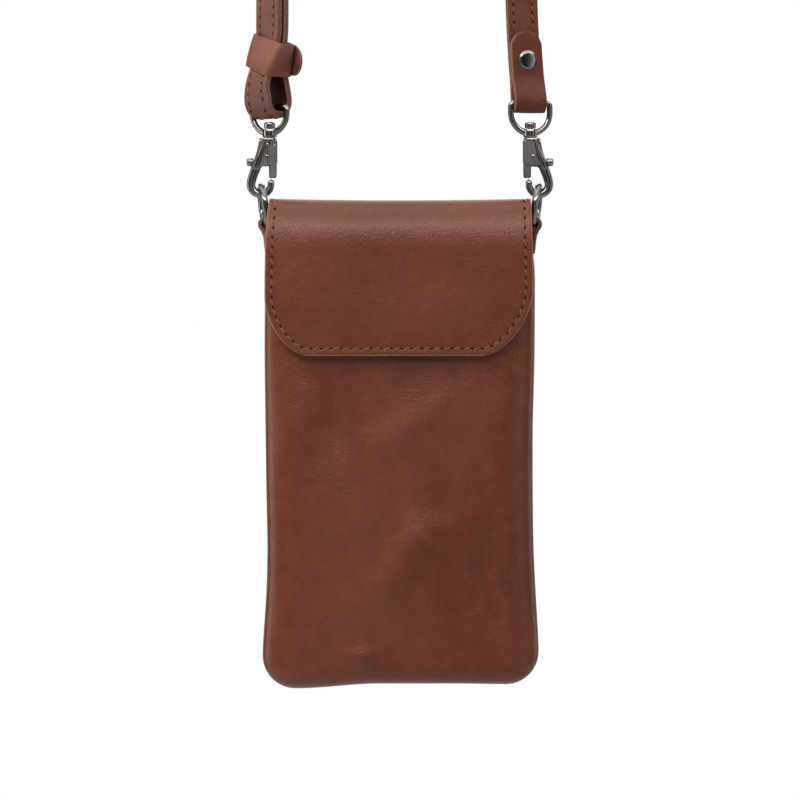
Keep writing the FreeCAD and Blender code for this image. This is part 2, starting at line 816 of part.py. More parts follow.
def write_parts():
    """Check every object, then write one file for each piece."""
    doc.recompute()
    for obj in doc.Objects:
        if "Invalid" in obj.State or "Error" in obj.State:
            raise RuntimeError(f"{obj.Label}: {obj.State}")
    for node in nodes:
        shape = node.Shape
        if shape.isNull() or not shape.isValid() or len(shape.Solids) != 1:
            raise RuntimeError(f"{node.Label}: not one valid solid")
    os.makedirs("parts", exist_ok=True)
    for node in nodes:
        node.Shape.exportStep(f"parts/{node.Label}.step")
        print(f"{node.Label}: {node.Shape.Volume:.1f} mm3")


front_layers()
back_layers()
flap()
snap()
for side in (LEFT, RIGHT):
    tab(side)
    eye(side)
    hook(side)
    gate(side)
    swivel_post(side)
strap()
keeper()
write_parts()
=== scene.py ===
# %% [markdown]
# # A leather phone pouch on its strap
# The pouch hangs from a taut strap: one long piece of leather makes the back, runs over the top
# and comes down the front as a flap. Rings in two side tabs hold the pouch to swivel clasps. This
# lesson builds every piece as a surface worked out with numpy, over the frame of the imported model.

# %% Load the frame
import json
import math
import bmesh
import bpy
import numpy as np
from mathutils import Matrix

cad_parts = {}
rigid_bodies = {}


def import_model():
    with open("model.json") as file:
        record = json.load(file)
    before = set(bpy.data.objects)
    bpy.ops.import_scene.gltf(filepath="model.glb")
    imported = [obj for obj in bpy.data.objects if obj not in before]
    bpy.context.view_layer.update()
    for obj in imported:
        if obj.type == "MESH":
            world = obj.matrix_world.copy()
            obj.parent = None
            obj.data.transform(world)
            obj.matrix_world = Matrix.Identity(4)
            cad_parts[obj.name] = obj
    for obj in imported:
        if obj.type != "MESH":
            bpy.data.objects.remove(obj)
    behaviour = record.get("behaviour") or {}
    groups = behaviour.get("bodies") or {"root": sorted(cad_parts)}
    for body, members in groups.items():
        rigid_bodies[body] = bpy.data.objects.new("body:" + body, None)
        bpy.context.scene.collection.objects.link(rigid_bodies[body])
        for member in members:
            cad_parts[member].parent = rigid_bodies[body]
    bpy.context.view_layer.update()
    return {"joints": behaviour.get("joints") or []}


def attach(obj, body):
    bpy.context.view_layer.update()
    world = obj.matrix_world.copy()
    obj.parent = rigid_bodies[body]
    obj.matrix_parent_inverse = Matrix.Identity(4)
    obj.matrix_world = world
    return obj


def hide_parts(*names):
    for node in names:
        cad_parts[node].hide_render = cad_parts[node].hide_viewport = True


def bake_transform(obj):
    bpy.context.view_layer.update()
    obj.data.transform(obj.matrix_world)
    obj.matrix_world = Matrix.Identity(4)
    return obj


for leftover in list(bpy.data.objects):
    bpy.data.objects.remove(leftover)
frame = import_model()

# %% [markdown]
# ## Where things are
# All shapes below are in millimetres, with heights measured from the pouch's top edge, because
# that is how a maker would mark them on the leather. The joints in the frame say where the
# clasps, rings and flap turn, so the places come from there and not from guesses.

# %% Places taken from the joints
MM = 0.001
SAME_POINT = 1e-8
LEFT, RIGHT = -1, 1
SIDE_NAMES = {LEFT: "left", RIGHT: "right"}
joints = {joint["name"]: joint for joint in frame["joints"]}
DROP = -joints["flap_hinge"]["pos_m"][2] / MM


def joint_place(name):
    """A joint's place in millimetres, its height counted from the pouch's top edge."""
    return np.array(joints[name]["pos_m"]) / MM + (0, 0, DROP)


HINGE_Y = joint_place("flap_hinge")[1]
AXIS_X, _, BAR_Z = joint_place("right_clasp_tilt")
HOOK_TOP = joint_place("right_swivel")[2]
PIN_U, _, PIN_Z = joint_place("right_gate_open") - (AXIS_X, 0, 0)
print(f"hinge y {HINGE_Y:.2f}, clasp axis x {AXIS_X:.2f}, strap's bar at {BAR_Z:.2f}")


# %% [markdown]
# ## Grids and meshes
# A shape is a grid of points: rows one way, columns the other. Joining each point to its
# neighbours gives the faces. Blender could do this with its own primitives, but a grid lets a
# formula decide every point, so the leather can roll, dip at the stitches and swell.

# %% From grids to pieces
def quads(index):
    """Faces between neighbours of a grid of point numbers."""
    corners = [index[:-1, :-1], index[1:, :-1], index[1:, 1:], index[:-1, 1:]]
    return np.stack(corners, -1).reshape(-1, 4)


def numbered(shape, start=0, close_rows=False, close_columns=False):
    """Point numbers for a grid; a closed direction repeats its first row or column."""
    index = start + np.arange(shape[0] * shape[1]).reshape(shape[:2])
    return np.pad(index, ((0, int(close_rows)), (0, int(close_columns))), "wrap")


class Shell:
    """Points, faces, a finish number per face and a flat place (u, v) per point, for one mesh."""

    def __init__(self):
        self.points, self.faces, self.finish, self.flat = [], [], [], []
        self.count = 0

    def add(self, points, faces, finish=0, flat=None):
        """Points, and faces as lists of their numbers."""
        points = np.reshape(points, (-1, 3))
        self.points.append(points)
        self.faces += faces
        self.finish.append(np.broadcast_to(finish, len(faces)))
        self.flat.append(np.zeros((len(points), 2)) if flat is None else flat)
        self.count += len(points)
        return self

    def add_grid(self, points, close_rows=False, close_columns=True, finish=0, caps=False):
        """A grid of points; caps close its first and last rows with one face each."""
        index = numbered(points.shape, self.count, close_rows, close_columns)
        faces = quads(index).tolist()
        finish = np.broadcast_to(finish, len(faces))
        if caps:
            rows = index[:, :points.shape[1]]
            faces += [rows[0].tolist(), rows[-1, ::-1].tolist()]
            finish = np.append(finish, finish[[0, -1]])
        return self.add(points, faces, finish)


def add_object(name, data):
    """A new object in the scene, at the origin."""
    made = bpy.data.objects.new(name, data)
    bpy.context.scene.collection.objects.link(made)
    return made


def make_piece(name, shell, finishes, body, replaced=(), closed=True, sharp=50.0, poles=False):
    """Turn a shell into an object of the frame that rides on a body and stands for CAD nodes.

    A closed piece has its faces turned outwards; at poles, the points that meet become one.
    """
    mesh = bpy.data.meshes.new(name)
    points = (np.concatenate(shell.points) - (0, 0, DROP)) * MM
    mesh.from_pydata(points.tolist(), [], shell.faces)
    mesh.polygons.foreach_set("material_index", np.concatenate(shell.finish).astype(np.int32))
    for finish in finishes:
        mesh.materials.append(finish)
    corners = np.empty(len(mesh.loops), np.int32)
    mesh.loops.foreach_get("vertex_index", corners)
    layer = mesh.uv_layers.new(name="UVMap")
    layer.data.foreach_set("uv", np.concatenate(shell.flat)[corners].astype(np.float32).ravel())
    if closed:
        work = bmesh.new()
        work.from_mesh(mesh)
        if poles:
            bmesh.ops.remove_doubles(work, verts=work.verts, dist=SAME_POINT)
        bmesh.ops.recalc_face_normals(work, faces=work.faces)
        work.to_mesh(mesh)
        work.free()
    mesh.set_sharp_from_angle(angle=math.radians(sharp))
    corner_counts = np.empty(len(mesh.polygons), np.int32)
    mesh.polygons.foreach_get("loop_total", corner_counts)
    mesh.polygons.foreach_set("use_smooth", corner_counts <= 4)
    piece = add_object(name, mesh)
    if body:
        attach(piece, body)
    if replaced:
        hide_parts(*replaced)
    print(f"{name}: {len(mesh.vertices)} points, {len(mesh.polygons)} faces")
    return piece


# %% [markdown]
# ## Small sums used everywhere
# Leather never changes direction in a hard step, so most blends use the same S-shaped curve. The
# rest are everyday sums on lines and directions.

# %% Curves
def ease(share):
    """An S-shaped step from 0 to 1: three squares less two cubes."""
    share = np.clip(share, 0.0, 1.0)
    return share * share * (3 - 2 * share)


def bump(distance, width):
    """A bell of height 1."""
    return np.exp(-((distance / width) ** 2))


def eased_table(places, values):
    """A function through a few marked values, rounded off between the marks."""
    fine = np.linspace(places[0], places[-1], 600)
    raw = np.interp(fine, places, values)
    pad = 30
    padded = np.concatenate([np.full(pad, raw[0]), raw, np.full(pad, raw[-1])])
    window = np.hanning(2 * pad + 1)
    smooth = np.convolve(padded, window / window.sum(), "valid")
    return lambda place: np.interp(place, fine, smooth)


def unit(vectors):
    """Vectors made one long."""
    return vectors / np.linalg.norm(vectors, axis=-1, keepdims=True)


def square_to(vectors, axis):
    """Unit vectors, with their part along an axis taken away."""
    return unit(vectors - axis * (vectors * axis).sum(-1, keepdims=True))


def run_length(line):
    """Distance along a line of points from its start."""
    return np.concatenate([[0], np.cumsum(np.linalg.norm(np.diff(line, axis=0), axis=1))])


def pair(first, second):
    """Two arrays as columns of pairs."""
    return np.stack([first, second], -1)


def upright(plan):
    """Points (x, 0, z) from pairs (x, z)."""
    return np.insert(plan, 1, 0.0, -1)


def spread(rows, columns):
    """Row values and column values at every point of a grid."""
    return np.meshgrid(rows, columns, indexing="ij")


def full_turn(steps):
    """Angles of a full turn."""
    return np.linspace(0, 2 * np.pi, steps, endpoint=False)


def oval(turn, power):
    """Cosine and sine to a power, with their signs kept: the lower the power, the squarer."""
    both = np.array([np.cos(turn), np.sin(turn)])
    return np.sign(both) * np.abs(both) ** power


def from_edge(span, roll, roll_steps, step):
    """Offsets from an edge: a quarter circle's spacing over the roll, then even steps."""
    rolled = roll * (1 - np.cos(np.linspace(0, np.pi / 2, roll_steps)))
    count = max(2, round((span - roll) / step) + 1)
    return np.concatenate([rolled, np.linspace(roll, span, count)[1:]])


def both_sides(offsets, half):
    """Shares from -1 to 1 across a width, from offsets that start at an edge."""
    left = offsets / half - 1
    return np.concatenate([left, -left[-2::-1]])


# %% [markdown]
# ## Shader maths
# A material is a graph of nodes. Writing it node by node hides the idea, so one small class wraps
# an output socket and lets Python's own operators add the Math nodes. A second one adds any other
# node, for a material or for the world.

# %% Sockets that can be added and multiplied
class Value:
    """A shader value; arithmetic on it adds Math nodes to its graph."""

    def __init__(self, graph, socket):
        self.graph, self.socket = graph, socket

    def _math(self, operation, first, second):
        return self.graph.node("ShaderNodeMath", {"operation": operation}, {0: first, 1: second})

    def __add__(self, other):
        return self._math("ADD", self, other)

    def __sub__(self, other):
        return self._math("SUBTRACT", self, other)

    def __rsub__(self, other):
        return self._math("SUBTRACT", other, self)

    def __mul__(self, other):
        return self._math("MULTIPLY", self, other)

    __radd__ = __add__
    __rmul__ = __mul__

    def other(self, output):
        """Another output of the same node."""
        return Value(self.graph, self.socket.node.outputs[output])


class Graph:
    """The nodes of a material or a world, around the one shader that they feed."""

    def __init__(self, owner, shader):
        owner.use_nodes = True
        self.tree = owner.node_tree
        self.shader = self.tree.nodes[shader]

    def node(self, kind, settings=None, inputs=None, output=0):
        """Add a node, set it up, feed its sockets with values or links, and return one output."""
        made = self.tree.nodes.new(kind)
        for key, setting in (settings or {}).items():
            if key == "stops":
                ramp = made.color_ramp.elements
                while len(ramp) < len(setting):
                    ramp.new(0.5)
                for element, (place, colour) in zip(ramp, setting):
                    element.position, element.color = place, (*colour, 1)
            else:
                setattr(made, key, setting)
        for key, value in (inputs or {}).items():
            if isinstance(value, Value):
                self.tree.links.new(value.socket, made.inputs[key])
            else:
                made.inputs[key].default_value = value
        return Value(self, made.outputs[output])

    def feed(self, socket, value):
        """Link a value to a socket of the shader."""
        self.tree.links.new(value.socket, self.shader.inputs[socket])

    def place(self, source="Object"):
        """Where on the object, on its flat pattern or in the sky a point lies."""
        return self.node("ShaderNodeTexCoord", output=source)

    def noise(self, place, scale, detail=2.0, roughness=0.5, stretch=None):
        """Cloudy noise, from 0 to 1; stretch scales the place along each axis first."""
        if stretch:
            place = self.node("ShaderNodeMapping", None, {"Vector": place, "Scale": stretch})
        return self.node("ShaderNodeTexNoise", None,
                         {"Vector": place, "Scale": scale, "Detail": detail, "Roughness": roughness})

    def ramp(self, value, *stops):
        """Colours for a value, from stops of (value, colour)."""
        return self.node("ShaderNodeValToRGB", {"stops": stops}, {"Fac": value})

    def mix(self, share, first, second, blend="MIX"):
        """A mix of two colours."""
        return self.node("ShaderNodeMix", {"data_type": "RGBA", "blend_type": blend},
                         {0: share, 6: first, 7: second}, output=2)

    def step(self, value, low, high, level=1.0):
        """A smooth step from nothing to a level, while the value goes from low to high."""
        return self.node("ShaderNodeMapRange", {"interpolation_type": "SMOOTHSTEP"},
                         {"Value": value, "From Min": low, "From Max": high, "To Max": level})


class Finish(Graph):
    """A material with one Principled shader."""

    def __init__(self, name, **constants):
        self.material = bpy.data.materials.new(name)
        super().__init__(self.material, "Principled BSDF")
        for socket, value in constants.items():
            self.shader.inputs[socket.replace("_", " ")].default_value = value

    def relief(self, height, strength, depth):
        """Bump from a height; depth is in metres."""
        self.feed("Normal", self.node("ShaderNodeBump", None,
                                      {"Height": height, "Strength": strength, "Distance": depth}))


# %% [markdown]
# ## The leather
# Smooth brown leather with a light pull-up finish: broad clouds of lighter and darker dye, a very
# fine closed grain, and a soft gloss that breaks up where the grain does. Three sizes of noise
# make the clouds, and a cell pattern about a millimetre across makes the grain.

# %% Leather finishes
MIDDLE_BLEND = 0.02
# Painted shade: below this height the strap's right end is darkened further in its colour.
END_SHADE_ZONE = (-0.128, -0.131)
END_SHADE_TINT = (0.92, 0.68, 0.52)


def crease_patch(skin, place, x, z, reach, turn):
    """Fine parallel creases that fade out round one spot, as a height from 0 to 1."""
    spot = (x * MM, 0, (z - DROP) * MM)
    away = skin.node("ShaderNodeVectorMath", {"operation": "SUBTRACT"}, {0: place, 1: spot})
    away = skin.node("ShaderNodeVectorMath", {"operation": "MULTIPLY"}, {0: away, 1: (1, 0, 1)})
    far = skin.node("ShaderNodeVectorMath", {"operation": "LENGTH"}, {0: away}, output="Value")
    fade = skin.step(far, reach * MM, reach * MM * 0.15)
    turned = skin.node("ShaderNodeMapping", None,
                       {"Vector": away, "Rotation": (0, math.radians(turn), 0), "Scale": (0.16, 1.0, 1.0)})
    return skin.noise(turned, 850.0, 2.0, 0.55) * fade


def leather_finish(name, dark, middle, light, rough, gloss=0.25, clouds=60.0, creases=(), right_shade_tint=None):
    """Dye clouds in three tones, fine grain and creases as relief, and gloss that follows them.

    A right shade tint multiplies the colour on the right of the object's middle as painted shade, since
    the left leg catches a sheen that the right one misses, and an end shade tint darkens it again as
    painted shade on the right below the end zone's height.
    """
    skin = Finish(name, Specular_IOR_Level=gloss)
    place = skin.place()
    mottle = skin.noise(place, 170.0, 4.0, 0.6)
    pores = skin.noise(place, 2100.0, 1.0)
    cells = skin.node("ShaderNodeTexVoronoi", {"feature": "SMOOTH_F1"},
                      {"Vector": place, "Scale": 1150.0, "Smoothness": 0.6}, output="Distance")
    tone = skin.noise(place, clouds) * 0.4 + mottle * 0.35 + pores * 0.25
    colour = skin.ramp(tone, (0.38, dark), (0.5, middle), (0.62, light))
    if right_shade_tint:
        across = skin.node("ShaderNodeSeparateXYZ", None, {0: place})
        shaded_end = skin.node("ShaderNodeMapRange", None,
                             {"Value": across.other(2), "From Min": END_SHADE_ZONE[0], "From Max": END_SHADE_ZONE[1]})
        # Painted shade: the colour is darkened to the right of the middle, and more at the right end.
        shaded_right = skin.step(across, -MIDDLE_BLEND, MIDDLE_BLEND)
        colour = skin.mix(shaded_right, colour, (*right_shade_tint, 1), "MULTIPLY")
        colour = skin.mix(shaded_right * shaded_end, colour, (*END_SHADE_TINT, 1), "MULTIPLY")
    skin.feed("Base Color", skin.mix(cells * 0.2, colour, (*dark, 1)))
    skin.feed("Roughness", rough - 0.05 + mottle * 0.14 - cells * 0.04)
    height = cells * -0.7 + pores * 0.35 + mottle * 0.6
    for crease in creases:
        height = height + crease_patch(skin, place, *crease)
    skin.relief(height, 0.46, 0.00024)
    return skin.material


CREASES = [(-34.0, -107.0, 11.0, 28.0), (-34.0, -73.0, 16.0, 4.0), (-15.0, -175.0, 8.0, 50.0),
           (38.0, -152.0, 13.0, 12.0), (6.0, -74.0, 18.0, -6.0)]
PANEL = leather_finish("panel_leather", (0.107, 0.0238, 0.0083), (0.134, 0.0312, 0.0114),
                       (0.158, 0.0405, 0.0163), rough=0.37, gloss=0.38, clouds=24.0, creases=CREASES)
# The strap's colour carries painted shade on its right side and its right end.
STRAP = leather_finish("strap_leather", (0.113, 0.0395, 0.0256), (0.148, 0.0567, 0.0393),
                       (0.180, 0.0748, 0.0547), rough=0.48, right_shade_tint=(0.87, 0.70, 0.60))
KEEPER = leather_finish("keeper_leather", (0.158, 0.053, 0.032), (0.194, 0.069, 0.043),
                        (0.226, 0.085, 0.055), rough=0.4)
# A near-black leather for the strap's back layer: its flesh side is darker, and the rest is painted shade of
# the loop's inside.
SHADED_STRAP_INSIDE = leather_finish("strap_inside_painted_shade", (0.036, 0.012, 0.008), (0.052, 0.018, 0.012),
                              (0.068, 0.024, 0.017), rough=0.7, gloss=0.08, clouds=80.0)


def cut_edge_finish(name, fibre, dye):
    """A raw cut edge: paler fibre with streaks of dye that soaked in, and a rough nap."""
    edge = Finish(name, Specular_IOR_Level=0.25)
    streaks = edge.noise(edge.place(), 900.0, 3.0, 0.65)
    fibres = edge.noise(edge.place(), 3200.0, 1.0)
    edge.feed("Base Color", edge.ramp(streaks * 0.7 + fibres * 0.3, (0.32, dye), (0.68, fibre)))
    edge.feed("Roughness", 0.7 + fibres * 0.2)
    edge.relief(streaks + fibres, 0.4, 0.0002)
    return edge.material


FLAP_EDGE = cut_edge_finish("flap_cut_edge", (0.42, 0.215, 0.15), (0.21, 0.08, 0.048))
STRAP_EDGE = cut_edge_finish("strap_cut_edge", (0.27, 0.135, 0.105), (0.15, 0.065, 0.048))
print("leather finishes:", [finish.name for finish in bpy.data.materials])

# %% [markdown]
# ## Thread, metal and cloth
# The thread is a twisted tan cord, so its relief is a slanting wave along each stitch's own flat
# place, and the shade in each needle's pit is painted as a dark oval. The clasps are plated dark grey
# and polished, with faint handling marks. The lining is plain woven cloth, made of two crossed waves.

# %% Thread, metal and lining finishes
thread = Finish("tan_thread", Specular_IOR_Level=0.3)
plies = thread.node("ShaderNodeTexWave", {"bands_direction": "DIAGONAL"},
                    {"Vector": thread.place("UV"), "Scale": 1.1})
fuzz = thread.noise(thread.place(), 2600.0, 2.0, 0.6)
thread.feed("Base Color", thread.ramp(plies * 0.6 + fuzz * 0.4, (0.2, (0.14, 0.05, 0.02)),
                                      (0.75, (0.30, 0.132, 0.06))))
thread.feed("Roughness", 0.62 + fuzz * 0.2)
thread.relief(plies + fuzz * 0.4, 0.5, 0.0001)

# Painted shade: each needle hole is a near-black oval standing for the shade in its pit.
painted_hole_shade = Finish("painted_hole_shade", Specular_IOR_Level=0.02)
speck = painted_hole_shade.noise(painted_hole_shade.place(), 1800.0, 1.0)
painted_hole_shade.feed("Base Color", painted_hole_shade.ramp(speck, (0.3, (0.022, 0.008, 0.005)),
                                                (0.7, (0.045, 0.015, 0.009))))
painted_hole_shade.feed("Roughness", 0.8 + speck * 0.15)


def metal_finish(name, dark, light, rough, marks):
    """Plated metal: a little uneven in tone, with faint handling marks that change its gloss."""
    plate = Finish(name, Metallic=1.0)
    cloud = plate.noise(plate.place(), 160.0)
    scuffs = plate.noise(plate.place(), 420.0, 3.0, 0.6, stretch=(1.0, 1.0, 0.2))
    plate.feed("Base Color", plate.ramp(cloud * 0.8 + scuffs * 0.2, (0.3, dark), (0.7, light)))
    plate.feed("Roughness", rough + (cloud + scuffs) * marks)
    return plate.material


GUNMETAL = metal_finish("gunmetal_plating", (0.165, 0.155, 0.148), (0.225, 0.212, 0.203), 0.12, 0.04)
SNAP_METAL = metal_finish("snap_plating", (0.36, 0.35, 0.335), (0.47, 0.46, 0.44), 0.24, 0.08)

cloth = Finish("lining_cloth", Specular_IOR_Level=0.2, Sheen_Weight=0.15)
warp, weft = [cloth.node("ShaderNodeTexWave", {"bands_direction": way},
                         {"Vector": cloth.place(), "Scale": 420.0}) for way in ("X", "Z")]
drift = cloth.noise(cloth.place(), 90.0, 3.0, 0.55)
cloth.feed("Base Color", cloth.ramp(warp * weft * 0.35 + drift * 0.65, (0.2, (0.07, 0.036, 0.025)),
                                    (0.7, (0.135, 0.075, 0.052))))
cloth.feed("Roughness", 0.8 + drift * 0.15)
cloth.relief(warp + weft, 0.35, 0.00025)
print("finishes in all:", len(bpy.data.materials))

# %% [markdown]
# ## The camera
# The photograph looks straight at the pouch with a long lens, so the camera stands well back and
# its lens is worked out from the width of leather that fills the frame.

# %% Camera
VIEW_WIDTH = 308.8
VIEW_CENTRE_Z = -78.0
CAMERA_DISTANCE = 1600.0
FRONT_FACE = -13.4
camera_data = bpy.data.cameras.new("front_camera")
camera_data.lens = camera_data.sensor_width * CAMERA_DISTANCE / VIEW_WIDTH
camera_data.clip_end = 20.0
camera = add_object("front_camera", camera_data)
camera.location = np.array([0.0, FRONT_FACE - CAMERA_DISTANCE, VIEW_CENTRE_Z - DROP]) * MM
camera.rotation_euler = (math.pi / 2, 0, 0)
bpy.context.scene.camera = camera
print(f"lens {camera_data.lens:.0f} mm at {CAMERA_DISTANCE:.0f} mm")

# %% [markdown]
# ## The pouch's outline
# The body is sewn inside out and turned, so its sides are not straight: it is a little narrower at
# the waist and spreads towards the base, and the left bottom corner hangs lower. A few widths are
# marked and a smooth curve goes through them.

# %% Widths of the body
BODY_MARKS = [-189.0, -172.0, -163.0, -150.0, -135.0, -112.0, -90.0, -60.0, -27.0, -18.0, 0.0]
left_width = eased_table(BODY_MARKS, [53.1, 52.9, 52.2, 51.3, 51.0, 51.5, 51.8, 52.2, 52.0, 49.5, 49.4])
right_width = eased_table(BODY_MARKS, [53.5, 53.4, 52.9, 52.1, 51.4, 51.1, 51.1, 51.9, 52.1, 50.9, 49.4])
HALF_MARK = 52.0
BODY_FOOT = -187.6
BODY_CORNER = (12.5, 12.5, 2.0)
REAR_FACE = 3.6
SEAM_Y = 2.0
LEATHER = 1.5
FRONT_TOP = -9.6


def body_width(z, way):
    """Half width of the body at a height, on the left where way is below nothing."""
    return np.where(way < 0, left_width(z), right_width(z))


def foot_sag(x, rise):
    """How far the base hangs below its mark: most at the left corner, fading out upwards."""
    return -(1.9 * ease((-x - 8) / 32) + 0.35 * ease((x - 20) / 25)) * (1 - ease(rise / 60))


def corner_width(width, rise, corner):
    """Half width at a rise above a rounded end: full, less what the corner's curve takes away."""
    wide, tall, power = corner
    inside = np.clip(1 - rise / tall, 0, 1)
    return width - wide + wide * (1 - inside**power) ** (1 / power)


def edge_distance(x, rise, half, corner):
    """Distance inwards from an outline; in a corner, the fall of the curve's level over its slope."""
    wide, tall, power = corner
    across = half - np.abs(x)
    u, v = np.clip(1 - across / wide, 0, 1), np.clip(1 - rise / tall, 0, 1)
    level = np.maximum((u**power + v**power) ** (1 / power), 1e-6)
    slope = level ** (1 - power) * np.hypot(u ** (power - 1) / wide, v ** (power - 1) / tall)
    rounded = (1 - level) / np.maximum(slope, 1e-9)
    return np.maximum(np.where((u > 0) & (v > 0), rounded, np.minimum(across, rise)), 0)


def rolled(distance, radius):
    """How far a rolled edge falls back: a quarter circle of a radius, from the distance to the edge."""
    return radius - np.sqrt(np.maximum(radius**2 - np.maximum(radius - distance, 0) ** 2, 0))


print("waist", round(float(left_width(-135) + right_width(-135)), 1), "mm across")

# %% [markdown]
# ## The front panel
# The front could be a block with rounded edges, but turned leather rolls round its edge with a
# soft, uneven radius, swells a little over the lining and carries broad shallow dents. So the
# front is a grid whose depth is a function of the distance from the outline, plus a wall that
# runs back to the seam, where the stitches pull it into small puckers.

# %% Front panel
EDGE_ROLL = 5.6
ROLL_WIDE = 12.5


def ridge(x, z, start, end, height, width):
    """A soft ridge along a line: a bell of the distance from the line, fading out past both ends."""
    start, end = np.array(start), np.array(end)
    line = end - start
    length = math.hypot(*line)
    share = ((x - start[0]) * line[0] + (z - start[1]) * line[1]) / length**2
    away = ((x - start[0]) * line[1] - (z - start[1]) * line[0]) / length
    return height * bump(away, width) * ease((share + 0.4) / 0.7) * ease((1.4 - share) / 0.7)


FOLDS = [((18, -78), (-10, -98), 0.75, 7.5), ((9, -127), (-4, -150), 1.7, 7.5),
         ((-4, -150), (-19, -159), 0.7, 7.0)]
SWELLINGS = [(1.1, -45, 12, -87, 19), (0.6, 36, 12, -108, 22), (1.2, -15, 6, -178, 5),
             (-1.5, -24, 11, -87, 18), (-1.4, 31, 15, -143, 22), (-0.7, 19, 7, -116, 9)]


def front_dents(x, z):
    """Broad soft folds, swellings and hollows of the hanging leather, in millimetres outwards."""
    out = 0.06 * np.sin(x / 7.3 + z / 19.0) + 0.05 * np.sin(x / 11.7 - z / 8.9 + 1.3)
    for fold in FOLDS:
        out = out + ridge(x, z, *fold)
    for height, middle_x, wide, middle_z, tall in SWELLINGS:
        out = out + height * bump(x - middle_x, wide) * bump(z - middle_z, tall)
    return out


def body_front():
    """Grid of the front face, rolled at the sides and the base."""
    rise, share = spread(from_edge(FRONT_TOP - BODY_FOOT, EDGE_ROLL, 10, 1.7)[::-1],
                         both_sides(from_edge(HALF_MARK, ROLL_WIDE, 14, 1.9), HALF_MARK))
    z = BODY_FOOT + rise
    width = body_width(z, share)
    x = share * corner_width(width, rise, BODY_CORNER)
    inset = edge_distance(x, rise, width, BODY_CORNER)
    squeeze = EDGE_ROLL / ROLL_WIDE
    wide, tall, power = BODY_CORNER
    near = edge_distance(x * squeeze, rise, width * squeeze, (wide * squeeze, tall, power))
    belly = (0.8 * (1 - np.exp(-inset / 16.0)) + 1.6 * (1 - share**2)) * ease((-z - 20) / 110)
    y = FRONT_FACE + rolled(near, EDGE_ROLL) - belly - front_dents(x, z) * ease(inset / 14)
    return np.stack([x, y, z + foot_sag(x, rise)], -1)


def three_sides(grid):
    """A grid's left column, its last row and its right column, as one line."""
    return np.concatenate([grid[:, 0], grid[-1, 1:-1], grid[::-1, -1]])


def body_wall(rim):
    """Rows from the front's outline back to the seam, bulging and then tucked in."""
    along = unit(np.gradient(rim[:, [0, 2]], axis=0))
    outward = upright(pair(along[:, 1], -along[:, 0]))
    run = run_length(rim)
    back = np.linspace(0, 1, 10)[1:, None]
    pucker = 0.13 * np.sin(run / 0.83 + 1.7 * np.sin(run / 21.0)) * ease((back - 0.35) / 0.65)
    swell = 0.45 * np.sin(np.pi * back) - 0.85 * ease((back - 0.8) / 0.2) + pucker
    wall = rim[None] + outward[None] * swell[..., None]
    wall[..., 1] = rim[:, 1] + (SEAM_Y - rim[:, 1]) * back
    return wall


def thicken(piece, thickness, rim_finish=0, bevel=0.0):
    """Give a sheet its thickness inwards, with its own finish and a soft arris on the cut edge."""
    wall = piece.modifiers.new("thickness", "SOLIDIFY")
    wall.thickness = thickness * MM
    wall.offset = -1.0
    wall.use_even_offset = True
    wall.material_offset_rim = rim_finish
    if bevel:
        arris = piece.modifiers.new("arris", "BEVEL")
        arris.width = bevel * MM
        arris.segments = 2
        arris.limit_method = "ANGLE"
        arris.angle_limit = math.radians(55)


front_grid = body_front()
wall_grid = body_wall(three_sides(front_grid))
front_numbers = numbered(front_grid.shape)
wall_numbers = numbered(wall_grid.shape, front_numbers.size)
wall_numbers = np.concatenate([three_sides(front_numbers)[None], wall_numbers])
front_shell = Shell().add(np.concatenate([front_grid.reshape(-1, 3), wall_grid.reshape(-1, 3)]),
                          np.concatenate([quads(front_numbers), quads(wall_numbers)]).tolist())
pouch_front = make_piece("pouch_front", front_shell, [PANEL, FLAP_EDGE], "pouch", ["front_panel"],
                         closed=False)
thicken(pouch_front, LEATHER, rim_finish=1)

# %% [markdown]
# ## The back and the flap, in one sheet
# One piece of leather makes the back, curls over the top and hangs down the front. It is a flat
# pattern carried along a path: up the back, round the lip, over the fold and down the front.

# %% Path of the long sheet
LIP = REAR_FACE - HINGE_Y
BEND_DEEP, BEND_TALL = 9.0, 20.0
FLAP_OUT = -17.8
FLAP_FOOT = -61.0
BACK_RUN = -LIP - BODY_FOOT
FOLD_RUN = BACK_RUN + LIP * np.pi / 2


def path_table():
    """The sheet's outside: up the back, a quarter circle, level, a quarter oval and down the front."""
    quarter = np.linspace(0, np.pi / 2, 200)
    bend_y = FLAP_OUT + BEND_DEEP
    pieces = [np.linspace((REAR_FACE, BODY_FOOT), (REAR_FACE, -LIP), 400),
              pair(HINGE_Y + LIP * np.cos(quarter), LIP * np.sin(quarter) - LIP)[1:],
              np.linspace((HINGE_Y, 0), (bend_y, 0), 40)[1:],
              pair(bend_y - BEND_DEEP * np.sin(quarter), BEND_TALL * np.cos(quarter) - BEND_TALL)[1:],
              np.linspace((FLAP_OUT, -BEND_TALL), (FLAP_OUT, FLAP_FOOT), 200)[1:]]
    line = np.concatenate(pieces)
    run = run_length(line)
    along = unit(np.gradient(line, run, axis=0))
    return run, line[:, 0], line[:, 1], along[:, 1], -along[:, 0]


PATH_RUN, *PATH_COLUMNS = path_table()
SHEET_END = PATH_RUN[-1]


def sheet_path(run):
    """Depth, height and outward normal at a distance along the sheet from the foot of the back."""
    return [np.interp(run, PATH_RUN, column) for column in PATH_COLUMNS]


FLAP_MARKS = [0.0, 5.0, 9.5, 13.0, 24.0, 40.0, 90.0]
flap_width = eased_table(FLAP_MARKS, [50.3, 50.5, 50.8, 51.1, 51.9, 52.2, 52.2])
SHEET_THICKNESS = 1.3
STITCH_INSET = 2.8
BACK_ROLL = 2.6


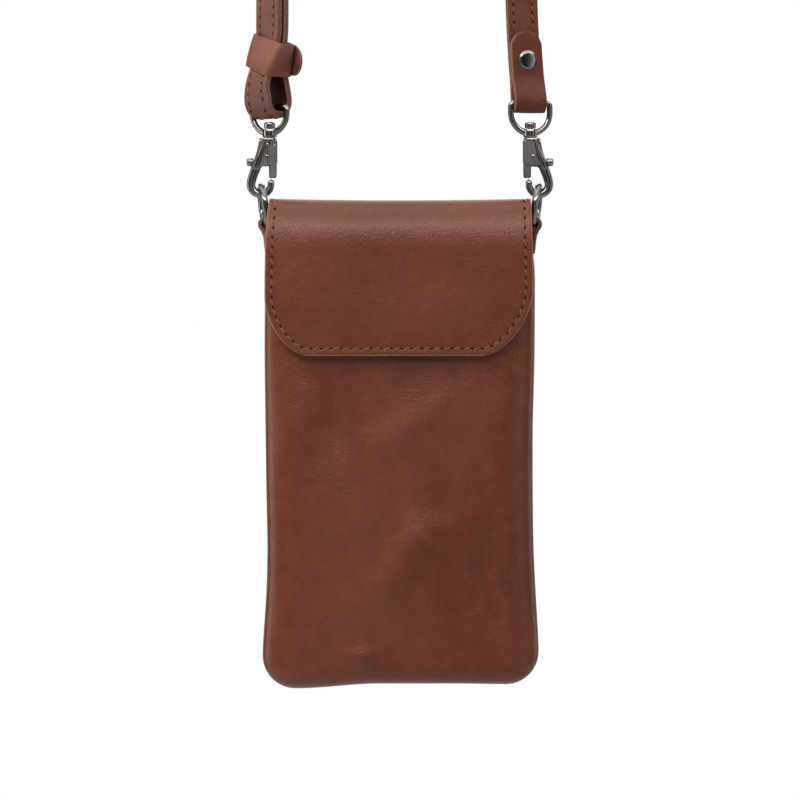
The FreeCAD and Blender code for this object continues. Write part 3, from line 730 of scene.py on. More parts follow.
def flap_corner(x):
    """Width, height and power of the flap's corner on the side of x; the right one is cut rounder."""
    return np.where(x > 0, 19.5, 16.4), np.where(x > 0, 25.5, 22.0), 1.68


def flap_half(run, x):
    """Half width of the flap on the side of x; its right edge is cut a little closer."""
    return flap_width(run - FOLD_RUN) - np.where(x > 0, 0.85 * ease((run - FOLD_RUN - 6) / 20), 0)


def sheet_point(x, run, half, depth=0.0):
    """A point of the sheet, a depth below its outside, with its rolls, swell and stitch groove."""
    y, z, normal_y, normal_z = sheet_path(run)
    on_back = run < BACK_RUN
    foot = edge_distance(x, run, half, BODY_CORNER)
    sink = (REAR_FACE - SEAM_Y) / BACK_ROLL * rolled(foot, BACK_ROLL) * ease((-z - 10) / 9)
    swell = 0.5 * ease(foot / 30) * ease((-z - 10) / 30)
    flap_edge = edge_distance(x, SHEET_END - run, half, flap_corner(x))
    on_flap = ease((run - FOLD_RUN - 3) / 5)
    groove = 0.16 * bump(flap_edge - STITCH_INSET, 0.6) * on_flap
    edge_round = 0.22 * (1 - ease(flap_edge / 0.7)) * on_flap
    wave = 0.18 * np.sin(x / 14.0 + run / 23.0) * ease(flap_edge / 16)
    crown = ease((run - FOLD_RUN - 8) / 14) * (0.55 * ease(flap_edge / 22) + wave)
    crown = crown + 0.9 * bump(x, 24) * ease((run - SHEET_END + 30) / 25)
    dip = 0.8 * np.maximum(1 - (x / 51) ** 2, 0) * bump(run - FOLD_RUN - 2, 8)
    out = np.where(on_back, swell - sink, 0) + crown - dip - groove - edge_round - depth
    sag = np.where(on_back, foot_sag(x, run), 0)
    return np.stack([x, y + out * normal_y, z + out * normal_z + sag], -1)


print(f"sheet: {SHEET_END:.0f} mm long, folded at {FOLD_RUN:.0f} mm")

# %% [markdown]
# ## Cutting the sheet
# The grid's rows and columns stand closer where the edge rolls and the stitches run. The cut edge
# has its own finish. The sheet rides on no body; the two ends of the hinge line across it are worked
# out, and nothing here bends it.

# %% Back and flap
EDGE_COLUMNS = np.concatenate([[0.0, 0.42], np.arange(0.8, 8.01, 0.44)])
SHEET_SHARES = both_sides(np.concatenate([EDGE_COLUMNS, np.linspace(EDGE_COLUMNS[-1], HALF_MARK, 24)[1:]]),
                          HALF_MARK)
BEND_END = FOLD_RUN + 9
CORNER_RUN = 22
HINGE_BLEND = 3.0


def sheet_grid(runs, depth=0.0, trim=0.0):
    """The pattern's grid at some runs, drawn in at both ends by its rounded corners."""
    run, share = spread(runs, SHEET_SHARES)
    half = np.where(run < FOLD_RUN, body_width(sheet_path(run)[1], share), flap_half(run, share)) - trim
    x = share * np.minimum(corner_width(half, run, BODY_CORNER),
                           corner_width(half, SHEET_END - run, flap_corner(share)))
    return sheet_point(x, run, half, depth)


flap_rows = np.concatenate([np.linspace(BEND_END, SHEET_END - CORNER_RUN, 48)[1:],
                            SHEET_END - np.linspace(CORNER_RUN, 0.7, 48)[1:], [SHEET_END - 0.36, SHEET_END]])
sheet_rows = np.concatenate([from_edge(BACK_RUN, BACK_ROLL, 6, 2.4), np.linspace(BACK_RUN, BEND_END, 40)[1:],
                             flap_rows])
cut_edge = np.zeros((len(sheet_rows) - 1, len(SHEET_SHARES) - 1), int)
cut_edge[:, [0, -1]] = sheet_rows[1:, None] > FOLD_RUN
cut_edge[-1:] = 1
back_shell = Shell().add_grid(sheet_grid(sheet_rows), close_columns=False, finish=cut_edge.ravel())
back_and_flap = make_piece("back_and_flap", back_shell, [PANEL, FLAP_EDGE], None,
                           ["back_panel", "flap_outer"], closed=False)
thicken(back_and_flap, SHEET_THICKNESS, rim_finish=1, bevel=0.2)
HINGE_START = (0, (HINGE_Y + HINGE_BLEND) * MM, -DROP * MM)
HINGE_END = (0, (HINGE_Y - HINGE_BLEND) * MM, -DROP * MM)
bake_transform(back_and_flap)

# %% [markdown]
# ## The flap's facing
# A second leather sheet backs the flap, flush with its edge, so the cut edge shows two layers with
# a fine line between them. It is the same pattern, one layer further in.

# %% Flap facing
facing_rows = np.concatenate([np.linspace(FOLD_RUN + 0.8, BEND_END, 18), flap_rows])
facing_grid = sheet_grid(facing_rows, depth=SHEET_THICKNESS + 0.06, trim=0.08)
facing_shell = Shell().add_grid(facing_grid, close_columns=False)
flap_facing = make_piece("flap_facing", facing_shell, [PANEL, FLAP_EDGE], "flap", ["flap_lining"],
                         closed=False)
thicken(flap_facing, 1.2, rim_finish=1, bevel=0.2)

# %% [markdown]
# ## Stitches round the flap
# Each stitch is a short piece of thread that rises out of one needle hole and dips into the next,
# laid a little aslant as a lockstitch is. A few dozen faces each are enough, because hundreds of
# them share one mesh. The holes between them are small dark ovals of painted shade, a hair above the
# groove.

# %% Topstitching
STITCH_PITCH = 3.8


def stamp(local, groups, places, axes, flat=None):
    """Copies of a small shape at some places; its faces come in groups with equal corner counts."""
    points = places[:, None, None] + np.einsum("rcx,kxy->krcy", local, axes)
    shift = np.arange(len(places))[:, None, None] * local[..., 0].size
    faces = []
    for group in groups:
        faces += (group + shift).reshape(-1, group.shape[1]).tolist()
    if flat is not None:
        flat = np.tile(flat.reshape(-1, 2), (len(places), 1))
    return Shell().add(points, faces, flat=flat)


def stitch_shell(places, along, up, length, slant, radius):
    """A bent thread at each place: a tube whose middle line is an arch that dives at both ends."""
    side = np.cross(up, along)
    turn = math.radians(slant)
    axes = np.stack([along * math.cos(turn) + side * math.sin(turn),
                     side * math.cos(turn) - along * math.sin(turn), up], 1)
    share, turns = spread(np.linspace(-1, 1, 9), full_turn(8))
    thick = radius * (1 - 0.45 * share**6)
    rise = radius * 0.55 - radius * 2.0 * share**4 + thick * np.sin(turns) * 0.85
    local = np.stack([share * length / 2, thick * np.cos(turns), rise], -1)
    one = numbered(share.shape, close_columns=True)
    caps = np.stack([one[0, :4], one[-1, 3::-1], one[0, [0, 3, 4, 7]], one[-1, [7, 4, 3, 0]],
                     one[0, 4:8], one[-1, 7:3:-1]])
    faces = np.concatenate([quads(one), caps])
    return stamp(local, [faces], places, axes, pair(share * length, turns / np.pi))


def hole_shell(places, along, up, length=1.3, width=0.85):
    """A dark oval of painted shade at each place: rings that rise a hair towards the middle, clear of the
    leather.
    """
    reach, turn = spread([0.12, 0.62, 1.0], full_turn(10))
    local = np.stack([reach * np.cos(turn) * length / 2, reach * np.sin(turn) * width / 2,
                      0.05 + 0.06 * (1 - reach**2)], -1)
    one = numbered(reach.shape, close_columns=True)
    return stamp(local, [quads(one), one[:1, :-1]], places, np.stack([along, np.cross(up, along), up], 1))


def sew(name, places, along, up, pitch, body, slant=21.0, radius=0.3):
    """Stitches at a run of places, and the needle holes between them."""
    threads = stitch_shell(places, along, up, pitch * 0.76, slant, radius)
    make_piece(name + "_thread", threads, [thread.material], body)
    holes = hole_shell(places + along * (pitch / 2), along, up)
    make_piece(name + "_hole_shade", holes, [painted_hole_shade.material], body, closed=False)


def flap_stitch_side(side):
    """Half of the stitch line on the flat pattern: down one side and round its corner."""
    wide, tall, power = flap_corner(side)
    side_run = np.linspace(FOLD_RUN + 8.5, SHEET_END - tall, 160)
    side_x = flap_half(side_run, side) - STITCH_INSET
    angle = np.linspace(0, np.pi / 2, 60)[1:]
    share = pair(np.cos(angle), np.sin(angle)) ** (2 / power)
    outward = unit(share ** (power - 1) / (wide, tall))
    full = flap_half(SHEET_END, side)
    corner = (full - wide, SHEET_END - tall) + share * (wide, tall) - STITCH_INSET * outward
    return np.concatenate([pair(side_x, side_run), corner]) * (side, 1)


def read(line, places):
    """A line's values at fractional point numbers."""
    return np.stack([np.interp(places, np.arange(len(line)), column) for column in line.T], -1)


left_line, right_line = flap_stitch_side(LEFT), flap_stitch_side(RIGHT)
foot_line = np.linspace(left_line[-1], right_line[-1], 80)[1:-1]
line_x, line_run = np.concatenate([left_line, foot_line, right_line[::-1]]).T
line_3d = sheet_point(line_x, line_run, flap_half(line_run, line_x))
_, _, up_y, up_z = sheet_path(line_run)
sewn_run = run_length(line_3d)
stitch_count = int(sewn_run[-1] / STITCH_PITCH)
stitch_runs = (np.arange(stitch_count) + 0.5) * sewn_run[-1] / stitch_count
spots = np.interp(stitch_runs, sewn_run, np.arange(len(line_3d)))
stitch_up = unit(read(np.stack([np.zeros_like(up_y), up_y, up_z], -1), spots))
stitch_along = square_to(unit(read(unit(np.gradient(line_3d, axis=0)), spots)), stitch_up)
sew("flap_stitch", read(line_3d, spots), stitch_along, stitch_up, STITCH_PITCH, "flap")

# %% [markdown]
# ## The pocket's lining
# Inside the leather hangs a plain cloth bag. It is a rounded rectangle carried downwards, drawn in
# at the base, and it shows when the flap is up.

# %% Lining bag
LINING_IN = 2.3
LINING_ROLL = 4.0
LINING_CORNER = (10.2, 10.2, 2.0)


def lining_bag():
    """Rings of a squarish oval from the mouth to the base, closing to a line at the bottom."""
    foot = BODY_FOOT + LINING_IN
    rise, turn = spread(from_edge(FRONT_TOP - 0.5 - foot, LINING_ROLL, 10, 4.0)[::-1], full_turn(120))
    z = foot + rise
    across, deep = oval(turn, 0.28)
    x = across * corner_width(body_width(z, across) - LINING_IN, rise, LINING_CORNER)
    front, back = FRONT_FACE + LINING_IN, REAR_FACE - SHEET_THICKNESS - 0.5
    closing = np.sqrt(np.clip(1 - (1 - np.minimum(rise, LINING_ROLL) / LINING_ROLL) ** 2, 0.0004, 1))
    folds = 0.25 * np.sin(x / 6.0 + z / 31.0) * bump(np.abs(across) - 0.3, 0.5)
    y = (front + back) / 2 + deep * (back - front) / 2 * closing + np.where(deep < 0, folds, -folds) * 0.6
    return np.stack([x, y, z], -1)


lining_shell = Shell().add_grid(lining_bag())
pocket_lining = make_piece("pocket_lining", lining_shell, [cloth.material], "pouch",
                           ["front_lining", "back_lining"])
thicken(pocket_lining, 0.6)


# %% [markdown]
# ## The swivel clasps: claw, cheeks and pin
# Each clasp has a claw with a curved bow, a trunk of two cheeks with a gate lever between them, a
# pivot pin, a headed post that turns in a collar, and a D-shaped eye for the strap. Round pieces
# are turned: a profile spun about an axis. Wires are swept: a squarish section carried along a
# path, thinner towards the claw's tip. The cheeks are plates cut to an outline, with soft arrises.

# %% Claw, cheeks and pin
def lathe(profile, origin=(0, 0, 0), axis=(0, 0, 1), start=(1, 0, 0), steps=36):
    """Spin a profile of (radius, along) about an axis through an origin."""
    axis, start, profile = np.array(axis), np.array(start), np.array(profile)
    turn = full_turn(steps)[:, None]
    radial = np.cos(turn) * start + np.sin(turn) * np.cross(axis, start)
    return np.array(origin) + profile[:, None, :1] * radial[None] + profile[:, None, 1:] * axis


def sweep(path, side, radius_side, radius_up, power=2.0, steps=20, closed=False):
    """Carry an oval section along a path; side is one of its axes and the other follows the path."""
    if closed:
        along = unit(np.roll(path, -1, 0) - np.roll(path, 1, 0))
    else:
        along = unit(np.gradient(path, axis=0))
    side = square_to(np.broadcast_to(side, path.shape), along)
    up = np.cross(along, side)
    aside, upward = oval(full_turn(steps), 2 / power)[..., None]
    radius_side = np.broadcast_to(radius_side, len(path))[:, None, None]
    radius_up = np.broadcast_to(radius_up, len(path))[:, None, None]
    return path[:, None] + side[:, None] * aside * radius_side + up[:, None] * upward * radius_up


def rounded_outline(corners, radius, steps=6):
    """A closed outline whose corners are replaced by parabolas that touch both sides."""
    corners = np.array(corners)
    reach = np.broadcast_to(radius, len(corners))[:, None]
    start = corners + unit(np.roll(corners, 1, 0) - corners) * reach
    end = corners + unit(np.roll(corners, -1, 0) - corners) * reach
    share = np.linspace(0, 1, steps)[None, :, None]
    middle = 2 * share * (1 - share) * corners[:, None]
    curve = (1 - share) ** 2 * start[:, None] + middle + share**2 * end[:, None]
    return curve.reshape(-1, 2)


def slab(outline, half, centre=0.0, arris=0.3):
    """A flat plate cut to an outline in (u, z), with rounded arrises; rows run from front to back."""
    after = np.roll(outline, -1, 0)
    along = unit(after - np.roll(outline, 1, 0))
    area = np.sum(outline[:, 0] * after[:, 1] - after[:, 0] * outline[:, 1])
    inward = pair(-along[:, 1], along[:, 0]) * np.sign(area)
    turn = np.linspace(0, np.pi / 2, 5)
    inset = arris * (1 - np.sin(turn))
    depth = -half + arris * (1 - np.cos(turn))
    inset, depth = np.concatenate([inset, inset[::-1]]), np.concatenate([depth, -depth[::-1]])
    flat = outline[None] + inward[None] * inset[:, None, None]
    depth = np.broadcast_to((depth + centre)[:, None], flat.shape[:2])
    return np.stack([flat[..., 0], depth, flat[..., 1]], -1)


def clasp_piece(side, name, body, node, capped=(), turned=()):
    """Join tubes in a clasp's own axes into a metal piece; the left clasp is turned half round."""
    prefix = SIDE_NAMES[side] + "_"
    shell = Shell()
    for tubes, caps in ((capped, True), (turned, False)):
        for tube in tubes:
            shell.add_grid(tube * (side, side, 1) + (side * AXIS_X, 0, 0), caps=caps)
    make_piece(prefix + name, shell, [GUNMETAL], prefix + body, [prefix + node],
               sharp=42, poles=True)


BOW_U, BOW_Z = 3.4, HOOK_TOP - 18.0
BOW_MIDDLE = 3.95
THROAT = BOW_Z + 6.7
CHEEK_TOP = HOOK_TOP - 0.8
FRONT_CHEEK = [(2.6, CHEEK_TOP), (-3.0, CHEEK_TOP), (-3.0, THROAT + 1.2), (0.4, THROAT + 0.3),
               (3.2, THROAT + 0.8), (5.0, THROAT - 1.5), (6.7, THROAT - 1.0), (4.6, THROAT + 3.4),
               (3.2, THROAT + 7.5)]
BACK_CHEEK = [(4.0, CHEEK_TOP), (0.15, CHEEK_TOP), (0.15, THROAT + 0.1), (2.8, THROAT + 0.2),
              (4.2, THROAT - 1.6), (7.5, THROAT - 0.8), (6.3, THROAT + 1.9), (5.0, THROAT + 6.0)]
CHEEK_HALF, CHEEK_Y, CHEEK_CORNER = 0.46, 1.48, 0.7
ARM_U = [1.6, 2.6, 3.7, 4.7, 5.85, 6.8]
ARM_RISE = [9.6, 6.6, 3.4, 1.0, -1.6, -4.2]
ARM_HALF = [1.2, 1.5, 1.75, 1.9, 1.87, 1.8]
FLANGE = [(0.0, -3.0), (2.3, -2.9), (2.5, -1.75), (3.2, -1.6), (3.4, -1.3), (3.4, -0.4), (3.15, -0.08),
          (2.3, 0.0), (0.0, 0.0)]
PIN = [(0.0, -2.6), (0.42, -2.57), (0.7, -2.45), (0.72, -2.3), (0.6, -2.25), (0.6, 2.25), (0.72, 2.3),
       (0.7, 2.45), (0.42, 2.57), (0.0, 2.6)]


def claw_path():
    """The arm's slope, the bow's half circle and the tip, with half widths, rounded where they join."""
    marks = np.column_stack([ARM_U, THROAT + np.array(ARM_RISE), ARM_HALF])
    arm = read(marks, np.linspace(0, len(marks) - 1, 30))
    angle = np.linspace(np.radians(10), -np.pi, 40)
    bow = np.column_stack([BOW_U + BOW_MIDDLE * np.cos(angle), BOW_Z + BOW_MIDDLE * np.sin(angle),
                           np.linspace(1.74, 1.35, 40)])
    tip = np.linspace(bow[-1, :2], (BOW_U - BOW_MIDDLE - 0.1, BOW_Z + 1.9), 6)[1:]
    soft = np.concatenate([arm, bow, np.column_stack([tip, np.linspace(1.33, 1.2, 5)])])
    for _ in range(2):
        soft[2:-2] = (soft[:-4] + soft[1:-3] + soft[2:-2] + soft[3:-1] + soft[4:]) / 5
    return upright(soft[:, :2]), soft[:, 2]


def hook(side):
    """Claw, two cheeks with a rib, and the round flange that joins them, in one mesh; and the pin."""
    path, half = claw_path()
    share = np.linspace(0, 1, len(path))
    end = np.sqrt(np.clip(1 - ((share - 0.95) / 0.05).clip(0, 0.985) ** 2, 0, 1))
    thick = (2.45 - 0.85 * ease(share / 0.5) - 0.2 * ease((share - 0.7) / 0.3)) * end
    claw = sweep(path, (0, 1, 0), thick, half * end, power=2.3, steps=32)
    front_plate = slab(rounded_outline(FRONT_CHEEK, CHEEK_CORNER), CHEEK_HALF, -CHEEK_Y)
    back_plate = slab(rounded_outline(BACK_CHEEK, CHEEK_CORNER), CHEEK_HALF, CHEEK_Y)
    rib = np.linspace((0.8, 1.75, HOOK_TOP - 1.6), (0.8, 1.75, THROAT + 0.5), 16)
    round_end = np.sqrt(1 - np.clip(np.abs(np.linspace(-1, 1, 16)) - 0.85, 0, 0.14) ** 2 / 0.15**2)
    rib = sweep(rib, (0, 1, 0), 0.8 * round_end, 0.7 * round_end)
    flange = lathe(FLANGE, steps=40) * (1.0, 0.78, 1.0) + (0.6, 0, HOOK_TOP)
    clasp_piece(side, "claw", "hook", "hook", [claw, front_plate, back_plate, rib], [flange])
    pin = lathe(PIN, (PIN_U, 0, PIN_Z), (0, 1, 0), steps=24)
    clasp_piece(side, "pivot_pin", "hook", "gate_pin", turned=[pin])


print("claw path:", len(claw_path()[0]), "points")

# %% [markdown]
# ## Gate, post and eye
# The gate is a lever cut from plate, with a turned thumb knob; it closes the claw's mouth. The post
# stands on the claw and its head sits in the eye's collar, so the claw can turn under the eye. The
# eye is one wire bent to a D, turned to face the strap that hangs from it.

# %% Gate, post and eye
GATE = [(-2.75, BOW_Z + 2.35), (0.25, BOW_Z + 2.35), (0.35, THROAT + 0.7), (7.0, THROAT + 1.3),
        (7.0, THROAT + 2.6), (2.6, PIN_Z + 1.7), (0.2, PIN_Z + 4.9), (-2.4, PIN_Z + 4.9), (-2.85, THROAT)]
GATE_CORNERS = [0.9, 0.9, 0.9, 0.6, 0.6, 0.9, 0.9, 0.9, 0.9]
KNOB = [(0.0, 1.35), (0.75, 1.3), (1.25, 1.1), (1.55, 0.7), (1.65, 0.2), (1.65, -0.9), (1.5, -1.3),
        (1.2, -1.5), (1.1, -2.2), (0.0, -2.3)]
KNOB_PLACE = (7.7, 0, THROAT + 1.9)
COLLAR_LOW = HOOK_TOP + 0.2
COLLAR_HIGH = COLLAR_LOW + 3.3
HEAD = COLLAR_HIGH + 0.2
POST = [(0.0, HOOK_TOP - 0.6), (2.3, HOOK_TOP - 0.5), (2.3, COLLAR_LOW + 0.04), (1.15, COLLAR_LOW + 0.06),
        (1.15, HEAD + 0.05), (2.1, HEAD + 0.07), (2.2, HEAD + 0.2), (2.2, HEAD + 1.9), (2.05, HEAD + 2.2),
        (1.75, HEAD + 2.36), (0.0, HEAD + 2.42)]
COLLAR = [(1.35, COLLAR_LOW + 0.1), (2.3, COLLAR_LOW), (2.65, COLLAR_LOW + 0.12), (2.8, COLLAR_LOW + 0.4),
          (2.8, COLLAR_HIGH - 0.4), (2.65, COLLAR_HIGH - 0.12), (2.3, COLLAR_HIGH), (1.35, COLLAR_HIGH - 0.1)]
EYE_RADIUS = 7.8
EYE_BEND = 1.6
EYE_Z = COLLAR_LOW + 1.65 + EYE_RADIUS
STRAP_TURN = {LEFT: -30.0, RIGHT: 13.0}
EYE_BAR = {LEFT: BAR_Z, RIGHT: BAR_Z + 1.7}


def eye_path(bar_z):
    """A half circle below, two short sides, small corner bends and the strap's bar above."""
    low = np.linspace(np.pi, 2 * np.pi, 60)
    bow = pair(EYE_RADIUS * np.cos(low), EYE_Z + EYE_RADIUS * np.sin(low))
    quarter = np.linspace(0, np.pi / 2, 9)
    inner = EYE_RADIUS - EYE_BEND
    right = pair(inner + EYE_BEND * np.cos(quarter), bar_z - EYE_BEND + EYE_BEND * np.sin(quarter))
    bar = np.linspace((inner, bar_z), (-inner, bar_z), 16)[1:-1]
    return upright(np.concatenate([bow, right, bar, right[::-1] * (-1, 1)]))


def eye(side):
    """The D-shaped wire, a little flattened and wider by the collar, and the collar itself."""
    name = SIDE_NAMES[side] + "_eye"
    turn = math.radians(STRAP_TURN[side])
    spin = np.array([[math.cos(turn), math.sin(turn), 0], [-math.sin(turn), math.cos(turn), 0], [0, 0, 1]])
    path = eye_path(EYE_BAR[side])
    by_collar = bump(path[:, 0], 3.6) * (path[:, 2] < EYE_Z)
    wire = sweep(path, (0, 1, 0), 1.15 + 0.5 * by_collar, 1.15 + 0.3 * by_collar, power=2.2, closed=True)
    shell = Shell()
    for tube in (wire, lathe(COLLAR)):
        shell.add_grid(tube @ spin + (side * AXIS_X, 0, 0), close_rows=True)
    make_piece(name + "_wire", shell, [GUNMETAL], name, [name], sharp=42)


for side in (LEFT, RIGHT):
    hook(side)
    lever = slab(rounded_outline(GATE, GATE_CORNERS), 0.92, arris=0.38)
    knob = lathe(KNOB, KNOB_PLACE, (1, 0, 0), (0, 0, 1), 28)
    clasp_piece(side, "gate_lever", "gate", "gate", [lever], [knob])
    clasp_piece(side, "post", "hook", "swivel_post", turned=[lathe(POST)])
    eye(side)

# %% [markdown]
# ## Rings and their tabs
# A plain wire ring stands in a folded leather tab on each side of the pouch. It leans out at the
# top, where the claw pulls it. The tab is a strip of leather that goes up the side, round the wire
# and down again: a flat section with soft arrises, carried along that path.

# %% Rings and tabs
RING_RADIUS, RING_WIRE = 7.7, 1.3
RING_LEAN = math.radians(7.0)
TAB_HALF, TAB_LEATHER, TAB_LOW = 3.0, 1.5, -21.0
TAB_X = 49.4 + TAB_LEATHER / 2 + 0.05
ACROSS_DEPTH = np.array([0.0, 1.0, 0.0])
STITCH_GROOVE = 2.4


def ring(side):
    """A circle of round wire about the joint's own axis."""
    name = SIDE_NAMES[side] + "_ring"
    axis = unit(np.array(joints[name + "_spin"]["axis"], float))
    first = unit(np.cross(axis, ACROSS_DEPTH))
    turn = full_turn(96)[:, None]
    circle = np.cos(turn) * first + np.sin(turn) * np.cross(axis, first)
    path = joint_place(name + "_spin") + RING_RADIUS * circle
    wire = sweep(path, axis, RING_WIRE, RING_WIRE, closed=True)
    make_piece(name + "_wire", Shell().add_grid(wire, close_rows=True), [GUNMETAL], name, [name])


def strip_section(half, thickness, marks, outer_side=1.0, groove=0.0):
    """A strip's section: (across, through) points round it, and which of them lie on the cut edges."""
    arris = marks[0]
    offsets = np.concatenate([marks, np.linspace(marks[-1] + 0.6, half, 5)])
    across = np.concatenate([-half + offsets, (half - offsets)[-2::-1]])
    inset = half - np.abs(across)
    lift = 0.1 * ease(inset / half) - groove * bump(inset - STITCH_GROOVE, 0.5) - 0.12 * (1 - ease(inset))
    face = pair(across, outer_side * (thickness / 2 + lift))
    base = pair(across[::-1], np.full(len(across), -outer_side * (thickness / 2 - 0.02)))
    bend = np.array([[half - arris * 0.3, 0.72], [half, 0.35], [half, -0.45], [half - arris * 0.4, -0.86]])
    right = bend * (1, outer_side * thickness / 2)
    section = np.concatenate([face, right, base, right[::-1] * (-1, 1)])
    on_edge = np.zeros(len(section), int)
    on_edge[len(face) - 1:len(face) + len(right)] = 1
    on_edge[len(face) + len(right) + len(base) - 1:] = 1
    return section, on_edge


def strip_axes(middle, across, normal):
    """Directions along, across and out of a strip, square to each other."""
    along = unit(np.gradient(middle, axis=0))
    across = square_to(across, along)
    third = np.cross(along, across)
    return along, across, third * np.sign((third * normal).sum(-1, keepdims=True))


def strip_grid(middle, across, normal, section):
    """Carry a strip's section, or one for each row, along a path."""
    return middle[:, None] + across[:, None] * section[..., :1] + normal[:, None] * section[..., 1:]


def tab(side):
    """A strip up the pouch's side, round the ring's wire and back down, and the core that fills it."""
    name = SIDE_NAMES[side] + "_tab"
    centre = joint_place(SIDE_NAMES[side] + "_ring_spin")
    foot_x = abs(centre[0]) - RING_RADIUS * math.sin(RING_LEAN)
    foot_z = centre[2] - RING_RADIUS * math.cos(RING_LEAN) + 0.25
    radius = RING_WIRE + 0.22 + TAB_LEATHER / 2
    angle = np.linspace(np.pi, -1.0, 30)[1:]
    loop = pair(foot_x + radius * np.cos(angle), foot_z + radius * np.sin(angle))
    outer_x = TAB_X + TAB_LEATHER
    pinch = (outer_x + 0.7, foot_z - 4.6)
    soft = np.concatenate([np.linspace((TAB_X, TAB_LOW), (foot_x - radius, foot_z), 14), loop,
                           np.linspace(loop[-1], pinch, 8)[1:], np.linspace(pinch, (outer_x, TAB_LOW), 8)[1:]])
    for _ in range(3):
        soft[1:-1] = (soft[:-2] + 2 * soft[1:-1] + soft[2:]) / 4
    path = upright(soft * (side, 1))
    section, on_edge = strip_section(TAB_HALF, TAB_LEATHER, [0.25, 0.6, 1.2, 1.9])
    out = upright(pair(np.gradient(path[:, 2]), -np.gradient(path[:, 0]))) * -side
    _, across, normal = strip_axes(path, np.broadcast_to(ACROSS_DEPTH, path.shape), out)
    edge = np.tile(on_edge, len(path) - 1)
    shell = Shell().add_grid(strip_grid(path, across, normal, section), finish=edge, caps=True)
    core = rounded_outline([(foot_x - 1.6, foot_z - 1.15), (foot_x + 1.5, foot_z - 1.15),
                            (TAB_X + 1.6, foot_z - 5.2), (TAB_X + 0.2, foot_z - 6.0)], 0.3)
    shell.add_grid(slab(core, 2.7, arris=0.2) * (side, 1, 1), caps=True)
    make_piece(name + "_loop", shell, [PANEL, STRAP_EDGE], "pouch", [name], sharp=60)


for side in (LEFT, RIGHT):
    ring(side)
    tab(side)

# %% [markdown]
# ## The strap's path
# The strap is two layers of leather sewn back to back. Starting at the riveted end it goes down
# round the right eye, up and over in the arch, down the left leg, round the left eye in a wide loop
# and up again as the tail. One path carries both layers, with its own across and outward
# directions, so the twist, the folds and the stitches all follow it.

# %% Path of the strap
STRAP_HALF = 6.25
STRAP_LAYER = 1.4
STRAP_THICK = 2 * STRAP_LAYER
ARCH_RADIUS = 46.5
ARCH_Z = DROP - ARCH_RADIUS + STRAP_LAYER
LOOP_RADIUS = {LEFT: 4.3, RIGHT: 1.45}
LOOP_RISE = {LEFT: 21.0, RIGHT: 10.5}
LOOP_Z = {LEFT: BAR_Z + 2.55, RIGHT: BAR_Z + 1.95}
HANG_TURN = {LEFT: -50.0, RIGHT: 16.0}
EASE_BACK = {LEFT: 4.0, RIGHT: 0.0}
TURN_START = {LEFT: -8.0, RIGHT: 0.0}
RUN_GAP = {LEFT: 0.32, RIGHT: 0.05}
DOUBLED_TOP = {LEFT: BAR_Z + 70.0, RIGHT: BAR_Z + 29.4}
END_ROWS = {LEFT: 90, RIGHT: 60}
FOLD_ROWS = {LEFT: 26, RIGHT: 18}
LEG_ROWS = 110
ARCH_TURN_START = 43.0


def leg(side, z):
    """The strap's place, its turn in radians and half the gap between its runs at a height."""
    rise = z - BAR_Z
    first = ease((rise - TURN_START[side]) / 18.0)
    second = ease((rise - ARCH_TURN_START) / (ARCH_Z - BAR_Z - ARCH_TURN_START))
    hang = STRAP_TURN[side] + (HANG_TURN[side] - STRAP_TURN[side]) * first
    hang = hang + EASE_BACK[side] * ease((rise - 21.0) / 13.0)
    turn = hang + (side * 90 - hang) * second
    if side == LEFT:
        lean = 0.25 * ease(rise / 30.0) + 0.75 * second
        sway = 1.1 * bump(rise - 11.0, 11.0)
    else:
        lean = ease((rise + 6.0) / 52.0)
        sway = (1.4 * ease((rise - 8.0) / 34.0) - 0.3) * (1 - second)
    x = side * (AXIS_X + (ARCH_RADIUS - AXIS_X) * lean + sway)
    closing = ease((z - LOOP_Z[side]) / LOOP_RISE[side])
    gap = LOOP_RADIUS[side] + (RUN_GAP[side] - LOOP_RADIUS[side]) * closing
    return x, np.radians(turn), gap


def leg_axes(turn):
    """Across and inward directions of the strap, turned about the vertical."""
    flat = np.zeros_like(turn)
    across = np.stack([np.cos(turn), np.sin(turn), flat], -1)
    inward = np.stack([-np.sin(turn), np.cos(turn), flat], -1)
    return across, inward


def strap_side(side):
    """One side's rows from its end: down the doubled end, half round below the bar and up the leg.

    Every row stands off the leg's middle line by half the gap and half the strap, along a direction
    that turns half round in the fold; up the leg it moves over to the middle line.
    """
    top, low = DOUBLED_TOP[side], LOOP_Z[side]
    end_z = top - (top - low) * np.linspace(0, 1, END_ROWS[side]) ** 1.6
    fold = np.linspace(0, np.pi, FOLD_ROWS[side])[1:-1]
    counts = [len(end_z), len(fold), LEG_ROWS]
    z = np.concatenate([end_z, np.full(len(fold), low), np.linspace(low, ARCH_Z, LEG_ROWS)])
    angle = np.concatenate([np.zeros(len(end_z)), fold, np.full(LEG_ROWS, np.pi)])[:, None]
    x, turn, gap = leg(side, z)
    across, inward = leg_axes(turn)
    radial = inward * (-side * np.cos(angle)) - np.array([0, 0, 1.0]) * np.sin(angle)
    reach = (gap + STRAP_THICK / 2) * (1 - ease((z - top) / (ARCH_Z - top)))
    middle = upright(pair(x, z)) + radial * reach[:, None]
    part = np.repeat(["end", "fold", "leg"], counts)
    return middle, across * side, radial * -side, np.full(len(z), side), part


def arch():
    """The rows of the arch, a half circle from the right leg to the left one."""
    angle = np.linspace(0, np.pi, 92)[1:-1]
    radial = upright(pair(np.cos(angle), np.sin(angle)))
    across = np.broadcast_to(ACROSS_DEPTH, radial.shape)
    middle = (0, 0, ARCH_Z) + ARCH_RADIUS * radial
    return middle, across, radial, np.zeros(len(angle), int), np.repeat("arch", len(angle))


